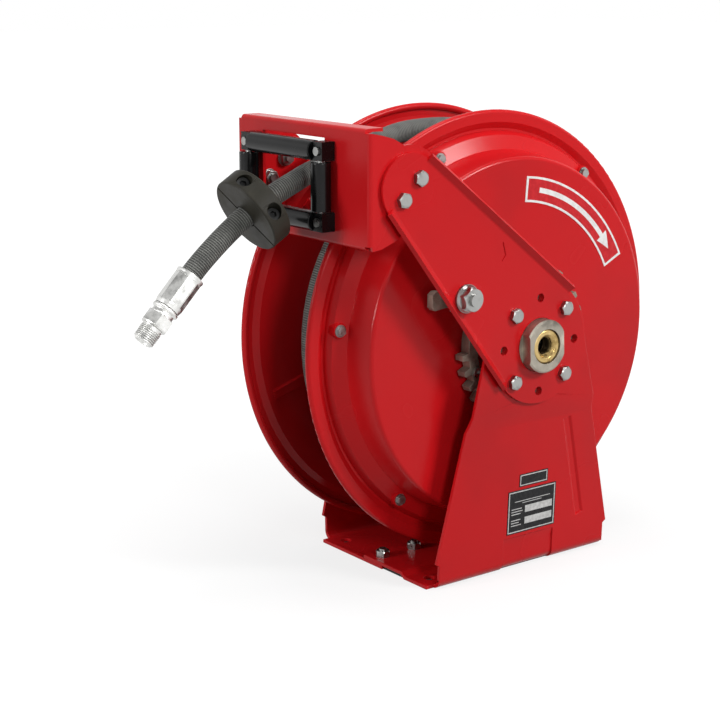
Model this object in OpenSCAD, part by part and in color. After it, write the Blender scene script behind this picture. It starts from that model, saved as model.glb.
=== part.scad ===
// Spring-driven hose reel on two pedestals: sheet-metal feet and guide arms,
// a spool with its spring case and ratchet, a four-roller fairlead, and the
// hose with its stop and male end fitting.
// The spool turns about Y.  The hose is pulled out towards -X, and the air or
// water inlet is on the -Y side.  Z = 0 is the floor.

/* [Frame] */
// Height of the spool's axis above the floor
axis_h = 231; // [228:1:250]
// Space between the far disc and the upright, at the shaft
upright_clear = 23; // [21:0.5:33]
// How far the upright's upper panel stands outside its lower end
upright_lean = 11; // [6:0.5:14]
// Half the width of an upright at the floor bend
foot_half_w = 113; // [108:1:125]
// Half the length of the floor plates along X
floor_half_l = 119; // [116:1:130]
// Radius of the round top of an upright
upright_top_r = 64; // [60:1:72]
// Thickness of the uprights' sheet
foot_t = 3.5; // [3:0.5:4]
// Outside radius of the bend from upright to floor plate
foot_bend_r = 10; // [7:0.5:14]
// Half the overlap of the two floor plates
floor_lap = 15; // [12:1:25]
// Mounting hole spacing along X
mount_x = 203.2; // [190:0.1:210]
// Mounting hole spacing along Y
mount_y = 136.5; // [120:0.1:140]
// Diameter of the mounting holes
mount_d = 11; // [8:0.5:13]
// Distance of the outer floor studs from the centre
stud_outer_x = 106; // [100:1:110]
// Distance of the inner floor studs from the centre
stud_inner_x = 66; // [50:1:80]
// Width of the pressed groove in each upright
groove_w = 11; // [6:0.5:14]
// Depth of the pressed groove
groove_d = 1.6; // [0.8:0.1:2.4]

/* [Guide arms] */
// Distance from the spool's axis to the arm's head
arm_l = 228.4; // [222:0.2:240]
// Angle of the arm above the horizontal
arm_tilt = 45.5; // [42:0.5:50]
// Thickness of the arm's sheet
arm_t = 4; // [3:0.5:5]
// Radius of the arm's round lower end
arm_low_r = 58; // [56:0.5:62]
// Radius of the arm's round head
arm_head_r = 32; // [29:0.5:34]
// Distance from the axis to the lower bent edge
arm_under_low = 54.5; // [52:0.5:56]
// Distance from the head's centre to the lower bent edge
arm_under_head = 28; // [25:0.5:30]
// Distance from the axis to the upper bent edge
arm_over_low = 61.5; // [57:0.5:63]
// Distance from the head's centre to the upper bent edge
arm_over_head = 31; // [27:0.5:31.5]
// Width of the bent edges
lip_w = 9; // [6:0.5:12]
// Angle of the bent edges out of the plate
lip_angle = 40; // [30:1:60]
// Radius of the circle of hub bolts
hub_bolt_r = 46; // [42:0.5:48]
// Distance between the two head bolts
head_bolt_gap = 26; // [22:0.5:30]

/* [Fasteners] */
// Diameter of the hub and head bolts
bolt_d = 8; // [6:0.5:8]
// Width across the flats of the bolt heads
bolt_af = 13; // [12:0.5:14]
// Height of the bolt heads
bolt_head_h = 5.5; // [4:0.5:7]
// Height of the nuts
nut_h = 6.5; // [5:0.5:8]
// Clearance on the radius of bolt holes
bolt_gap = 0.4; // [0.2:0.1:0.8]

/* [Fairlead] */
// Distance from the arm head's centre to the front face of the bracket
bracket_reach = 43.6; // [42:0.1:50]
// Thickness of the bracket's sheet
bracket_t = 3; // [2:0.5:4]
// Depth of the bracket's lower edge below the arm head's centre
bracket_below = 52.9; // [50:0.1:58]
// Height of the bracket's upper edge above the arm head's centre
bracket_above = 54.6; // [51:0.1:59]
// Outside radius of the bracket's bends
bracket_bend_r = 4; // [3.5:0.5:7]
// Depth of the bracket's folded top edge
top_fold = 20; // [14:0.5:24]
// Depth of the bracket's folded bottom edge
bottom_fold = 12; // [9:0.5:16]
// Centre of the roller window along Y
window_y = 11.5; // [5:0.5:20]
// Distance between the axes of the two upright rollers
upright_gap = 116.5; // [110:0.5:124]
// Depth of the lower roller's axis below the arm head's centre
roller_below = 32; // [29:0.1:34]
// Height of the upper roller's axis above the arm head's centre
roller_above = 31.9; // [29:0.1:35]
// Diameter of the rollers
roller_d = 18.5; // [15:0.5:19]
// Gap between the rollers and the bracket
roller_gap = 1.2; // [0.8:0.1:2]
// Diameter of the roller pins
pin_d = 6; // [5:0.5:7]
// Running clearance on the radius of the rollers' bores
pin_gap = 0.08; // [0.03:0.01:0.1]
// Width of a corner block along Y
block_w = 14; // [12:0.5:16]
// Height of a corner block
block_h = 17; // [15:0.5:19]
// Depth of a corner block
block_d = 14.3; // [13:0.1:16]

/* [Spool] */
// Radius of the spool's discs
disc_r = 220; // [215:1:222]
// Where the near disc's outer face is along Y
disc_near_y = -33; // [-34:0.5:-31]
// Distance between the outer faces of the two rims
spool_w = 115; // [113:0.5:116]
// Thickness of the disc sheet
disc_t = 2; // [1.5:0.25:2.5]
// Width of the flat ring at the disc's edge
rim_w = 12; // [9:0.5:16]
// Depth of the step inside the rim
rim_step = 4; // [2:0.5:5]
// Diameter of the rolled wire edge
rim_bead_d = 7; // [5:0.5:9]
// Outer radius of the drum barrel
barrel_r = 105.5; // [100:0.5:106]
// Wall of the drum barrel
barrel_t = 2.5; // [2:0.5:4]

/* [Spring case and ratchet] */
// Distance from the disc's edge to the edge of the spring case's flange
case_rim_gap = 20.5; // [19:0.5:24]
// Width of the case's sloping flange
case_flange_w = 17; // [14:0.5:20]
// How much narrower the case is at its face than at its root
case_taper = 4.5; // [2:0.5:8]
// Where the case's face is along Y
case_face_y = -73.5; // [-75:0.5:-70]
// Where the cone of the flange ends along Y
case_cone_y = -43; // [-46:0.5:-38]
// Thickness of the case's sheet
case_t = 2; // [1.5:0.25:3]
// Distance of the flange's screws from its edge
case_screw_inset = 8; // [6.5:0.5:10]
// Number of screws in the case's flange
case_screws_n = 6; // [4:1:8]
// Number of tooth places round the ratchet
teeth_n = 30; // [24, 30, 36]
// Neighbouring places left without a tooth, in each half of the ratchet
teeth_left_out = 3; // [0:1:3]
// Radius of the ratchet's tooth tips
ratchet_tip_r = 79; // [78:0.5:80]
// Radius of the ratchet's tooth roots
ratchet_root_r = 71; // [70:0.5:72]
// Inner radius of the ratchet ring
ratchet_in_r = 60; // [56:0.5:63]
// Thickness of the ratchet's teeth
ratchet_t = 11; // [9:0.5:12]
// Width of the mainspring's strip
spring_w = 30; // [24:1:32]
// Thickness of the mainspring's strip
spring_t = 1.6; // [1:0.2:2]
// Number of turns of the mainspring
spring_turns = 9; // [6:1:10]

/* [Shaft and inlet] */
// Diameter of the fixed shaft
shaft_d = 40; // [36:0.5:44]
// Bore of the shaft's water way
shaft_bore_d = 18; // [14:0.5:20]
// Running clearance on the radius of the spool's bearings
bearing_gap = 0.06; // [0.02:0.01:0.1]
// Outer diameter of the bearings
bearing_d = 60; // [54:0.5:64]
// Length of each bearing
bearing_l = 16; // [12:0.5:18]
// Diameter of the inlet hub's nose
nose_d = 52; // [48:0.5:55]
// Width across the nose's flats
nose_af = 44; // [40:0.5:46]
// How far the nose stands out of the arm
nose_l = 11; // [10:0.5:16]
// Radius of the hub's bolting flange
hub_flange_r = 56; // [54:0.5:58]
// Thickness of the hub's bolting flange
hub_flange_t = 7; // [5:0.5:8]
// Diameter of the brass inlet fitting
inlet_d = 34; // [30:0.5:36]
// Bore of the inlet thread
inlet_bore_d = 18.2; // [14:0.1:20]
// Depth of the inlet thread
inlet_depth = 13.5; // [10:0.5:14]

/* [Hose] */
// Outside diameter of the hose
hose_d = 20; // [18:0.5:20.5]
// Diameter of the hose stop
stop_d = 74; // [70:1:78]
// Thickness of the hose stop
stop_t = 20.5; // [18:0.5:22]
// Gap between the two halves of the stop
stop_split = 1.5; // [0.5:0.5:3]
// Length of the crimped ferrule
ferrule_l = 36; // [30:0.5:42]
// Diameter of the crimped ferrule
ferrule_d = 27; // [25:0.5:31]
// Length of the fitting's hexagon
hex_l = 13; // [10:0.5:16]
// Width across the fitting's hexagon
hex_af = 24; // [21:0.5:27]
// Length of the male thread
thread_l = 16; // [12:0.5:18]
// Diameter of the male thread
thread_d = 20.9; // [20:0.1:21.4]

/* [Hidden] */

fine = 96;
small = 40;

// Colours of the paint, plated steel, cast iron, brass and plastics
paint = [0.75, 0.09, 0.11];
plated = [0.78, 0.79, 0.8];
cast = [0.45, 0.42, 0.38];
yellow_brass = [0.78, 0.62, 0.3];
black = [0.06, 0.06, 0.065];
hose_black = [0.13, 0.13, 0.13];

// ---- shared helpers ----

// Closed outline of a strip of thickness t on the left of an open path
function strip(path, t) = concat(path, [for (i = [len(path) - 1:-1:0]) path[i] + t * miter(path, i)]);
function unit(v) = v / norm(v);
function left_of(v) = [-v[1], v[0]];
function seg_normal(path, i) = left_of(unit(path[i + 1] - path[i]));
function miter(path, i) = i == 0 ? seg_normal(path, 0)
    : i == len(path) - 1 ? seg_normal(path, i - 1)
    : let (a = seg_normal(path, i - 1), b = seg_normal(path, i)) (a + b) / (1 + a * b);

// Points of an arc from angle a to angle b
function arc(c, r, a, b, n = 10) = [for (i = [0:n]) c + r * [cos(a + (b - a) * i / n), sin(a + (b - a) * i / n)]];

// Draws a flat XZ outline as a plate between y0 and y1
module plate_xz(y0, y1) {
    translate([0, y1, 0]) rotate([90, 0, 0]) linear_extrude(y1 - y0) children();
}

// Draws a YZ outline, given as (y, z), as a bar between x0 and x1
module bar_yz(x0, x1) {
    translate([x0, 0, 0]) rotate([90, 0, 90]) linear_extrude(x1 - x0) children();
}

// Turns a profile of (radius, y) points about the spool's axis
module turned(profile) {
    translate([0, 0, axis_h]) rotate([-90, 0, 0]) rotate_extrude($fn = 180) polygon(profile);
}

// A cylinder along Y from y0 to y1 at x, z
module rod_y(d, y0, y1, x = 0, z = axis_h, n = small) {
    translate([x, y1, z]) rotate([90, 0, 0]) cylinder(d = d, h = y1 - y0, $fn = n);
}

// A hexagon along Y from y0 to y1 at x, z
module hex_y(af, y0, y1, x, z, turn = 0) {
    translate([x, y1, z]) rotate([90, turn, 0]) cylinder(d = af / cos(30), h = y1 - y0, $fn = 6);
}

// A cylinder along X from x0 to x1 at y, z
module rod_x(d, x0, x1, y, z, n = small) {
    translate([x0, y, z]) rotate([0, 90, 0]) cylinder(d = d, h = x1 - x0, $fn = n);
}

// A hexagon bolt head with a chamfered top, lying on y = face and pointing to -Y
module bolt_head(x, z, face, turn) {
    intersection() {
        hex_y(bolt_af, face - bolt_head_h, face, x, z, turn);
        translate([x, face, z]) rotate([90, 0, 0]) rotate_extrude($fn = small)
            polygon([[0, 0], [bolt_af / 2 + 1, 0], [bolt_af / 2 + 1, bolt_head_h * 0.75],
                [bolt_af / 2 - 0.8, bolt_head_h], [0, bolt_head_h]]);
    }
}

// Repeats its children on the other side of the centre plane
module far_side() { mirror([0, 1, 0]) children(); }

// ---- frame: two feet, each an upright with its floor plate ----

lean_start_z = 12;
jog_z1 = axis_h - hub_flange_r - 7;
jog_z0 = jog_z1 - 16;
jog_d = 6;
upright_y = disc_near_y + spool_w + upright_clear;
upright_low_y = upright_y - upright_lean;
upright_jog_y = upright_y - jog_d;
lean_angle = atan((upright_jog_y - upright_low_y) / (jog_z0 - lean_start_z));
stud_d = 8;
stud_head_d = 14;
stud_head_t = 1.2;
joggle_run = 5;
joggle_end = floor_lap + 30;

// Outline of an upright: trapezoid with a round top about the axis
top_angle = asin((foot_half_w - upright_top_r) / axis_h) - 5;
top_corner = polar(upright_top_r - 1, top_angle);
bend_half_w = foot_half_w - 3;
ear_z = 24;
ear_w = 4;
module upright_outline() {
    half = [[bend_half_w, -1], [bend_half_w, ear_z], [bend_half_w + ear_w, ear_z + 2.5],
        [top_corner[0], axis_h + top_corner[1]]];
    translate([0, axis_h]) circle(r = upright_top_r, $fn = fine);
    polygon(concat(half, [for (i = [3:-1:0]) [-half[i][0], half[i][1]]]));
}

// Path of the sheet's outer face, from the inner end of the floor plate to the
// top of the upright, for the foot on the -Y side
function upright_path() = concat(
    arc([-upright_low_y + foot_bend_r, foot_bend_r], foot_bend_r, 270, 180),
    [[-upright_low_y, lean_start_z], [-upright_jog_y, jog_z0], [-upright_y, jog_z1],
        [-upright_y, axis_h + upright_top_r + 1]]);
function floor_path(raised) = raised
    ? [[floor_lap, foot_t], [-joggle_end, foot_t], [-joggle_end - joggle_run, 0]]
    : [[floor_lap, 0]];

// Bar along the groove's line beside the +X edge, wide at y0 and narrower towards y1
groove_low = [foot_half_w - 39, 42];
groove_high = [foot_half_w - 63, jog_z0 - 4];
groove_slope = 1.5;
module groove(w, y0, y1) {
    run = groove_high - groove_low;
    translate([0, -upright_low_y, lean_start_z]) rotate([lean_angle, 0, 0])
        translate([groove_low[0], 0, groove_low[1] - lean_start_z])
        rotate([0, atan(run[0] / run[1]), 0])
        linear_extrude(norm(run)) polygon([for (p = [[-1, y0], [1, y0], [1, y1], [-1, y1]])
            [p[0] * (w / 2 - groove_slope * (p[1] - y0)), p[1]]]);
}

// Shallow pressed recess at the middle of the floor bend
heel_x = [-28, 38];
heel_z = 34;
heel_d = 1.6;
module heel_recess() {
    y = -upright_low_y;
    r = foot_bend_r;
    bar_yz(heel_x[0], heel_x[1]) polygon(concat(
        [[y - 6, heel_z], [y - 0.3, heel_z], [y + heel_d - 0.3, heel_z - 7]],
        arc([y + r, r], r - heel_d, 180, 270, 6), [[y + r, -6], [y - 6, -6]]));
}

module mount_holes() {
    for (sx = [-1, 1], sy = [-1, 1])
        translate([sx * mount_x / 2, sy * mount_y / 2, -1])
            cylinder(d = mount_d, h = foot_t + 2, $fn = small);
}

module stud_holes() {
    for (x = [-stud_outer_x, -stud_inner_x, stud_inner_x, stud_outer_x])
        translate([x, 0, -1]) {
            cylinder(d = stud_d + 2 * bolt_gap, h = 2 * foot_t + 2, $fn = small);
            cylinder(d = stud_head_d + 0.2, h = stud_head_t + 1, $fn = small);
        }
}

module hub_holes(y0, y1) {
    for (i = [0:7]) rotate_about_axis(45 * i)
        rod_y(bolt_d + 2 * bolt_gap, y0, y1, hub_bolt_r, axis_h);
    rod_y(nose_d + 1, y0, y1, n = fine);
}

module rotate_about_axis(a) {
    translate([0, 0, axis_h]) rotate([0, -a, 0]) translate([0, 0, -axis_h]) children();
}

// One foot on the -Y side; the raised one laps over the other's floor plate
module foot(raised) {
    path = concat(floor_path(raised), upright_path());
    difference() {
        union() {
            intersection() {
                bar_yz(-floor_half_l - 8, floor_half_l + 8) polygon(strip(path, -foot_t));
                union() {
                    plate_xz(-upright_y - 20, -upright_low_y + foot_bend_r - 1) upright_outline();
                    translate([-floor_half_l, -upright_low_y + foot_bend_r - 1, -1])
                        cube([2 * floor_half_l, upright_y + 60, 2 * foot_t + 2]);
                }
            }
            groove(groove_w + 5, foot_t - 1, foot_t + groove_d);
        }
        groove(groove_w + 3, -1, groove_d);
        heel_recess();
        mount_holes();
        stud_holes();
        hub_holes(-upright_y - 5, -upright_y + foot_t + 5);
    }
}

module foot_near() { color(paint) foot(true); }
module foot_far() { color(paint) far_side() foot(false); }

module floor_studs() {
    color(plated) for (x = [-stud_outer_x, -stud_inner_x, stud_inner_x, stud_outer_x])
        translate([x, 0, 0]) {
            cylinder(d = stud_head_d, h = stud_head_t, $fn = small);
            cylinder(d = stud_d, h = 2 * foot_t + nut_h + 2, $fn = small);
        }
}

module floor_nuts() {
    color(plated) for (x = [-stud_outer_x, -stud_inner_x, stud_inner_x, stud_outer_x])
        translate([x, 0, 2 * foot_t]) difference() {
            intersection() {
                cylinder(d = bolt_af / cos(30), h = nut_h, $fn = 6);
                cylinder(d1 = bolt_af + 6, d2 = bolt_af - 1, h = nut_h + 1.5, $fn = small);
            }
            translate([0, 0, -1]) cylinder(d = stud_d + 0.1, h = nut_h + 2, $fn = small);
        }
}

// ---- guide arms ----

shaft_c = [0, axis_h];
arm_dir = [-cos(arm_tilt), sin(arm_tilt)];
arm_across = [sin(arm_tilt), cos(arm_tilt)];
head_c = shaft_c + arm_l * arm_dir;
arm_angle = 180 - arm_tilt;
under_n = polar(1, arm_angle + acos((arm_under_low - arm_under_head) / arm_l));
over_n = polar(1, arm_angle - acos((arm_over_low - arm_over_head) / arm_l));
under_a = shaft_c + arm_under_low * under_n;
under_b = head_c + arm_under_head * under_n;
over_a = shaft_c + arm_over_low * over_n;
over_b = head_c + arm_over_head * over_n;
head_bolts = [for (s = [-1, 1]) head_c + s * head_bolt_gap / 2 * arm_across];
arm_in_y = -upright_y;
arm_out_y = -upright_y - arm_t;
pawl_c = shaft_c + polar(110, 149);
pawl_d = 12;
punch_c = [-48.5, axis_h + 99];

function polar(r, a) = r * [cos(a), sin(a)];
function angle_of(v) = atan2(v[1], v[0]);

// One bent edge of the arm, running from p to q with the outside on its left
lip_lap = 0.6;
lip_bend_r = arm_t + 4;
lip_bend_l = lip_bend_r * tan(lip_angle / 2);
flat_cut = lip_bend_l + 1;
module arm_lip(p, q) {
    translate([p[0], 0, p[1]]) rotate([0, -angle_of(q - p), 0])
        bar_yz(-lip_lap, norm(q - p) + lip_lap)
            polygon(strip(concat([[arm_in_y, -lip_bend_l - 4]],
                arc([arm_in_y - lip_bend_r, -lip_bend_l], lip_bend_r, 0, lip_angle),
                [[arm_in_y - lip_w * sin(lip_angle), lip_w * cos(lip_angle)]]), arm_t));
}

// Flat part of the arm, cut back to the bend lines of its two edges
module arm_outline() {
    difference() {
        union() {
            translate(shaft_c) circle(r = arm_low_r, $fn = fine);
            translate(head_c) circle(r = arm_head_r, $fn = fine);
            polygon([under_a, under_b, over_b, over_a]);
        }
        polygon([under_a - flat_cut * under_n, under_a + 20 * under_n, under_b + 20 * under_n, under_b - flat_cut * under_n]);
        polygon([over_a - flat_cut * over_n, over_b - flat_cut * over_n, over_b + 20 * over_n, over_a + 20 * over_n]);
    }
}

module guide_arm(with_pawl) {
    difference() {
        union() {
            plate_xz(arm_out_y, arm_in_y) arm_outline();
            arm_lip(under_a, under_b);
            arm_lip(over_b, over_a);
        }
        hub_holes(arm_out_y - 1, arm_in_y + 1);
        for (c = head_bolts)
            rod_y(bolt_d + 2 * bolt_gap, arm_out_y - 1, arm_in_y + 1, c[0], c[1]);
        if (with_pawl)
            rod_y(pawl_d + 2 * bolt_gap, arm_out_y - 1, arm_in_y + 1, pawl_c[0], pawl_c[1]);
        for (s = [[0, 12, 0], [-9, 8, 55]])
            translate([punch_c[0], arm_out_y, punch_c[1] + s[0]]) rotate([0, s[2] - 15, 0])
                cube([1.4, 1.6, s[1]], center = true);
    }
}

module arm_near() { color(paint) guide_arm(true); }
module arm_far() { color(paint) far_side() guide_arm(false); }

// Bolts through an arm into the hub's flange behind the upright
module hub_bolts() {
    for (i = [0:3]) let (c = shaft_c + polar(hub_bolt_r, 45 + 90 * i)) {
        bolt_head(c[0], c[1], arm_out_y, 10 + 35 * i);
        rod_y(bolt_d, arm_out_y, -upright_y + foot_t + hub_flange_t, c[0], c[1]);
    }
}

module hub_bolts_near() { color(plated) hub_bolts(); }
module hub_bolts_far() { color(plated) far_side() hub_bolts(); }

module head_bolts() {
    for (i = [0, 1]) let (c = head_bolts[i]) {
        bolt_head(c[0], c[1], arm_out_y, 12 + 21 * i);
        rod_y(bolt_d, arm_out_y, arm_in_y + bracket_t + nut_h + 3, c[0], c[1]);
    }
}

module head_nuts() {
    for (i = [0, 1]) let (c = head_bolts[i], y = arm_in_y + bracket_t) difference() {
        union() {
            rod_y(bolt_af + 4, y, y + 1.4, c[0], c[1]);
            hex_y(bolt_af, y, y + nut_h, c[0], c[1], 8 + 17 * i);
        }
        rod_y(bolt_d + 0.1, y - 1, y + nut_h + 1, c[0], c[1]);
    }
}

module head_bolts_near() { color(plated) head_bolts(); }
module head_bolts_far() { color(plated) far_side() head_bolts(); }
module head_nuts_near() { color(plated) head_nuts(); }
module head_nuts_far() { color(plated) far_side() head_nuts(); }

// ---- hubs, shaft and inlet ----

flange_in_y = upright_y - foot_t - hub_flange_t;
socket_l = 12;
boss_l = 5;
boss_r = shaft_d / 2 + 8;
fit_gap = 0.05;
nose_end_y = -upright_y - arm_t - nose_l;
nose_flats_a = 3;
inlet_seat_y = -flange_in_y + boss_l - socket_l - 1.5;

// Bolting flange with a socket for the shaft, on the -Y side
module hub_body(nose_y) {
    difference() {
        turned([[0, nose_y], [nose_d / 2 - 1.5, nose_y], [nose_d / 2, nose_y + 1.5],
            [nose_d / 2, -flange_in_y - hub_flange_t], [hub_flange_r, -flange_in_y - hub_flange_t],
            [hub_flange_r, -flange_in_y], [boss_r, -flange_in_y],
            [boss_r, -flange_in_y + boss_l], [0, -flange_in_y + boss_l]]);
        rod_y(shaft_d + 2 * fit_gap, -flange_in_y + boss_l - socket_l, -flange_in_y + boss_l + 1, n = fine);
        for (i = [0:3]) rotate_about_axis(45 + 90 * i)
            rod_y(bolt_d + 2 * fit_gap, -flange_in_y - hub_flange_t - 1, -flange_in_y + 1, hub_bolt_r, axis_h);
    }
}

module inlet_hub() {
    color(cast) difference() {
        hub_body(nose_end_y);
        for (s = [-1, 1]) rotate_about_axis(nose_flats_a)
            translate([s * (nose_af / 2 + 10), nose_end_y - 1 + nose_l / 2 + 0.5, axis_h])
                cube([20, nose_l + 1, nose_d + 2], center = true);
        rod_y(inlet_d + 2 * fit_gap, nose_end_y - 1, inlet_seat_y, n = fine);
        rod_y(shaft_bore_d, nose_end_y, -flange_in_y, n = fine);
    }
}

module end_hub() { color(cast) far_side() hub_body(-upright_y - arm_t - 3); }

module inlet_fitting() {
    r = inlet_bore_d / 2;
    y0 = nose_end_y + 0.8;
    y1 = inlet_seat_y;
    color(yellow_brass) turned([[r + 2.6, y0], [inlet_d / 2 - 1.6, y0], [inlet_d / 2, y0 + 1.6],
        [inlet_d / 2, y1], [r - 1.5, y1], [r - 1.5, y0 + inlet_depth], [r, y0 + inlet_depth],
        [r, y0 + 2.6]]);
}

sleeve_y0 = -12;
sleeve_y1 = 22;
port_y = (sleeve_y0 + sleeve_y1) / 2;
seal_d = 2.5;
seal_ys = [sleeve_y0 + 6, sleeve_y1 - 6];

module shaft() {
    y1 = flange_in_y - boss_l + socket_l;
    color(cast) difference() {
        rod_y(shaft_d, -y1, y1, n = fine);
        rod_y(shaft_bore_d, -y1 - 1, port_y + 6, n = fine);
        for (a = [0, 120, 240]) translate([0, port_y, axis_h]) rotate([0, a, 0])
            cylinder(d = 8, h = shaft_d, $fn = small);
        for (y = seal_ys) turned([[shaft_d / 2 - seal_d, y - seal_d / 2 - 0.3], [shaft_d, y - seal_d / 2 - 0.3],
            [shaft_d, y + seal_d / 2 + 0.3], [shaft_d / 2 - seal_d, y + seal_d / 2 + 0.3]]);
    }
}

module shaft_seals() {
    color(black) for (y = seal_ys)
        translate([0, y, axis_h]) rotate([-90, 0, 0]) rotate_extrude($fn = fine)
            translate([shaft_d / 2 - seal_d / 2, 0]) circle(d = seal_d, $fn = 24);
}

spring_y0 = case_face_y + case_t + 5.5;
spring_y1 = spring_y0 + spring_w;
arbor_r = shaft_d / 2 + 18;

module spring_arbor() {
    color(cast) difference() {
        turned([[shaft_d / 2 + fit_gap, spring_y0], [arbor_r, spring_y0], [arbor_r, spring_y1],
            [shaft_d / 2 + fit_gap, spring_y1]]);
        translate([arbor_r - 4, spring_y0 - 1, axis_h - 3]) cube([6, spring_w + 2, 6]);
    }
}

// ---- fairlead bracket and rollers ----

bracket_x = bracket_reach - head_c[0];
bracket_z0 = head_c[1] - bracket_below;
bracket_z1 = head_c[1] + bracket_above;
bend = bracket_bend_r;
fold_y = upright_y - bend - 3;
roller_x = -bracket_x - roller_gap - roller_d / 2;
roller_ys = [window_y - upright_gap / 2, window_y + upright_gap / 2];
roller_zs = [head_c[1] - roller_below, head_c[1] + roller_above];
block_screw_d = 5;
side_r = arm_head_r + 7;

// Plan of the bracket: front plate with a cheek bent back at each side
cheek_end_x = head_c[0] + 60;
function bracket_plan() = concat([[cheek_end_x, -upright_y]],
    arc([-bracket_x + bend, -upright_y + bend], bend, 270, 180),
    arc([-bracket_x + bend, upright_y - bend], bend, 180, 90), [[cheek_end_x, upright_y]]);

// Side view of the bracket: front plate, and cheeks that round off behind the arm's head
module bracket_side() {
    union() {
        translate(head_c) circle(r = side_r, $fn = fine);
        polygon([[-bracket_x - 1, bracket_z0 + bend], [-bracket_x + bracket_t, bracket_z0 + bend],
            [-bracket_x + bend, bracket_z0], head_c + [-30, 1.2 - bracket_below],
            head_c + [-15, 7 - bracket_below], head_c + [2, 4 - side_r], head_c, head_c + [2, side_r - 4],
            head_c + [-17, bracket_above - 9.5], head_c + [-30, bracket_above - 6], [-bracket_x + bend, bracket_z1 - 4],
            [-bracket_x + bracket_t, bracket_z1 - bend], [-bracket_x - 1, bracket_z1 - bend]]);
    }
}

module fairlead_bracket() {
    color(paint) difference() {
        union() {
            intersection() {
                translate([0, 0, bracket_z0]) linear_extrude(bracket_z1 - bracket_z0)
                    polygon(strip(bracket_plan(), -bracket_t));
                plate_xz(-upright_y - 1, upright_y + 1) bracket_side();
            }
            plate_xz(-fold_y, fold_y) polygon(strip(concat(
                arc([-bracket_x + bend, bracket_z1 - bend], bend, 180, 90),
                [[-bracket_x + top_fold, bracket_z1]]), -bracket_t));
            plate_xz(-fold_y, fold_y) polygon(strip(concat(
                arc([-bracket_x + bend, bracket_z0 + bend], bend, 180, 270),
                [[-bracket_x + bottom_fold, bracket_z0]]), bracket_t));
        }
        translate([-bracket_x - 1, roller_ys[0] + block_w / 2 + 1.5, roller_zs[0] - block_h / 2 - 1])
            cube([bracket_t + 2, upright_gap - block_w - 3, roller_zs[1] - roller_zs[0] + block_h + 3]);
        for (y = roller_ys, z = roller_zs)
            rod_x(block_screw_d + 0.3, -bracket_x - 1, -bracket_x + bracket_t + 1, y, z);
        for (c = head_bolts, s = [-1, 1])
            rod_y(bolt_d + 2 * bolt_gap, s * upright_y - 5, s * upright_y + 5, c[0], c[1]);
    }
}

pin_in_z = 5;
pin_in_y = 4;
roller_end_gap = 0.6;

module pins(extra = 0) {
    for (y = roller_ys) translate([roller_x, y, roller_zs[0] + block_h / 2 - pin_in_z - extra])
        cylinder(d = pin_d + 2 * extra, h = roller_zs[1] - roller_zs[0] - block_h + 2 * pin_in_z + 2 * extra,
            $fn = small);
    for (z = roller_zs) rod_y(pin_d + 2 * extra, roller_ys[0] + block_w / 2 - pin_in_y - extra,
        roller_ys[1] - block_w / 2 + pin_in_y + extra, roller_x, z);
}

module corner_blocks() {
    color(black) difference() {
        for (y = roller_ys, z = roller_zs)
            translate([-bracket_x - block_d / 2, y, z]) cube([block_d, block_w, block_h], center = true);
        pins(fit_gap);
        for (y = roller_ys, z = roller_zs)
            rod_x(block_screw_d + 0.3, -bracket_x - block_d - 1, -bracket_x + 1, y, z);
    }
}

module block_screws() {
    head_x = -bracket_x - block_d;
    color(plated) for (y = roller_ys, z = roller_zs) {
        rod_x(8, head_x - 2, head_x, y, z);
        rod_x(block_screw_d, head_x, -bracket_x + bracket_t + 6, y, z);
        translate([-bracket_x + bracket_t, y, z]) rotate([0, 90, 0]) difference() {
            cylinder(d = 8 / cos(30), h = 4, $fn = 6);
            translate([0, 0, -1]) cylinder(d = block_screw_d - 0.02, h = 6, $fn = small);
        }
    }
}

module roller_pins() { color(plated) pins(); }

// A roller from 0 to l along Z with rounded ends and a through bore
module roller(l) {
    rotate_extrude($fn = fine) polygon(concat(
        [[pin_d / 2 + pin_gap, 0]], arc([roller_d / 2 - 1, 1], 1, 270, 360, 4),
        arc([roller_d / 2 - 1, l - 1], 1, 0, 90, 4), [[pin_d / 2 + pin_gap, l]]));
}

upright_roller_z0 = roller_zs[0] + max(roller_d, block_h) / 2 + roller_end_gap;
upright_roller_l = roller_zs[1] - max(roller_d, block_h) / 2 - roller_end_gap - upright_roller_z0;
level_roller_y0 = roller_ys[0] + block_w / 2 + roller_end_gap;
level_roller_l = upright_gap - block_w - 2 * roller_end_gap;

module roller_near() {
    color(black) translate([roller_x, roller_ys[0], upright_roller_z0]) roller(upright_roller_l);
}
module roller_far() {
    color(black) translate([roller_x, roller_ys[1], upright_roller_z0]) roller(upright_roller_l);
}
module roller_lower() {
    color(black) translate([roller_x, level_roller_y0, roller_zs[0]]) rotate([-90, 0, 0]) roller(level_roller_l);
}
module roller_upper() {
    color(black) translate([roller_x, level_roller_y0, roller_zs[1]]) rotate([-90, 0, 0]) roller(level_roller_l);
}

// ---- spool: two discs, barrel, spring case, ratchet and bearings ----

disc_far_y = disc_near_y + spool_w;
near_web_y = disc_near_y + rim_step;
near_in_y = near_web_y + disc_t;
far_web_y = disc_far_y - rim_step;
far_in_y = far_web_y - disc_t;
bead_r = rim_bead_d / 2;
case_flange_r = disc_r - case_rim_gap;
case_root_r = case_flange_r - case_flange_w;
case_face_r = case_root_r - case_taper;
case_screw_r = case_flange_r - case_screw_inset;
hub_wall = 7;
near_hole_r = 45;
hub_end_gap = 1.5;
far_hub_y1 = flange_in_y - boss_l - hub_end_gap;
far_hub_y0 = far_hub_y1 - bearing_l;
rib_r0 = disc_r - 68;
rib_r1 = disc_r - 26;

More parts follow.
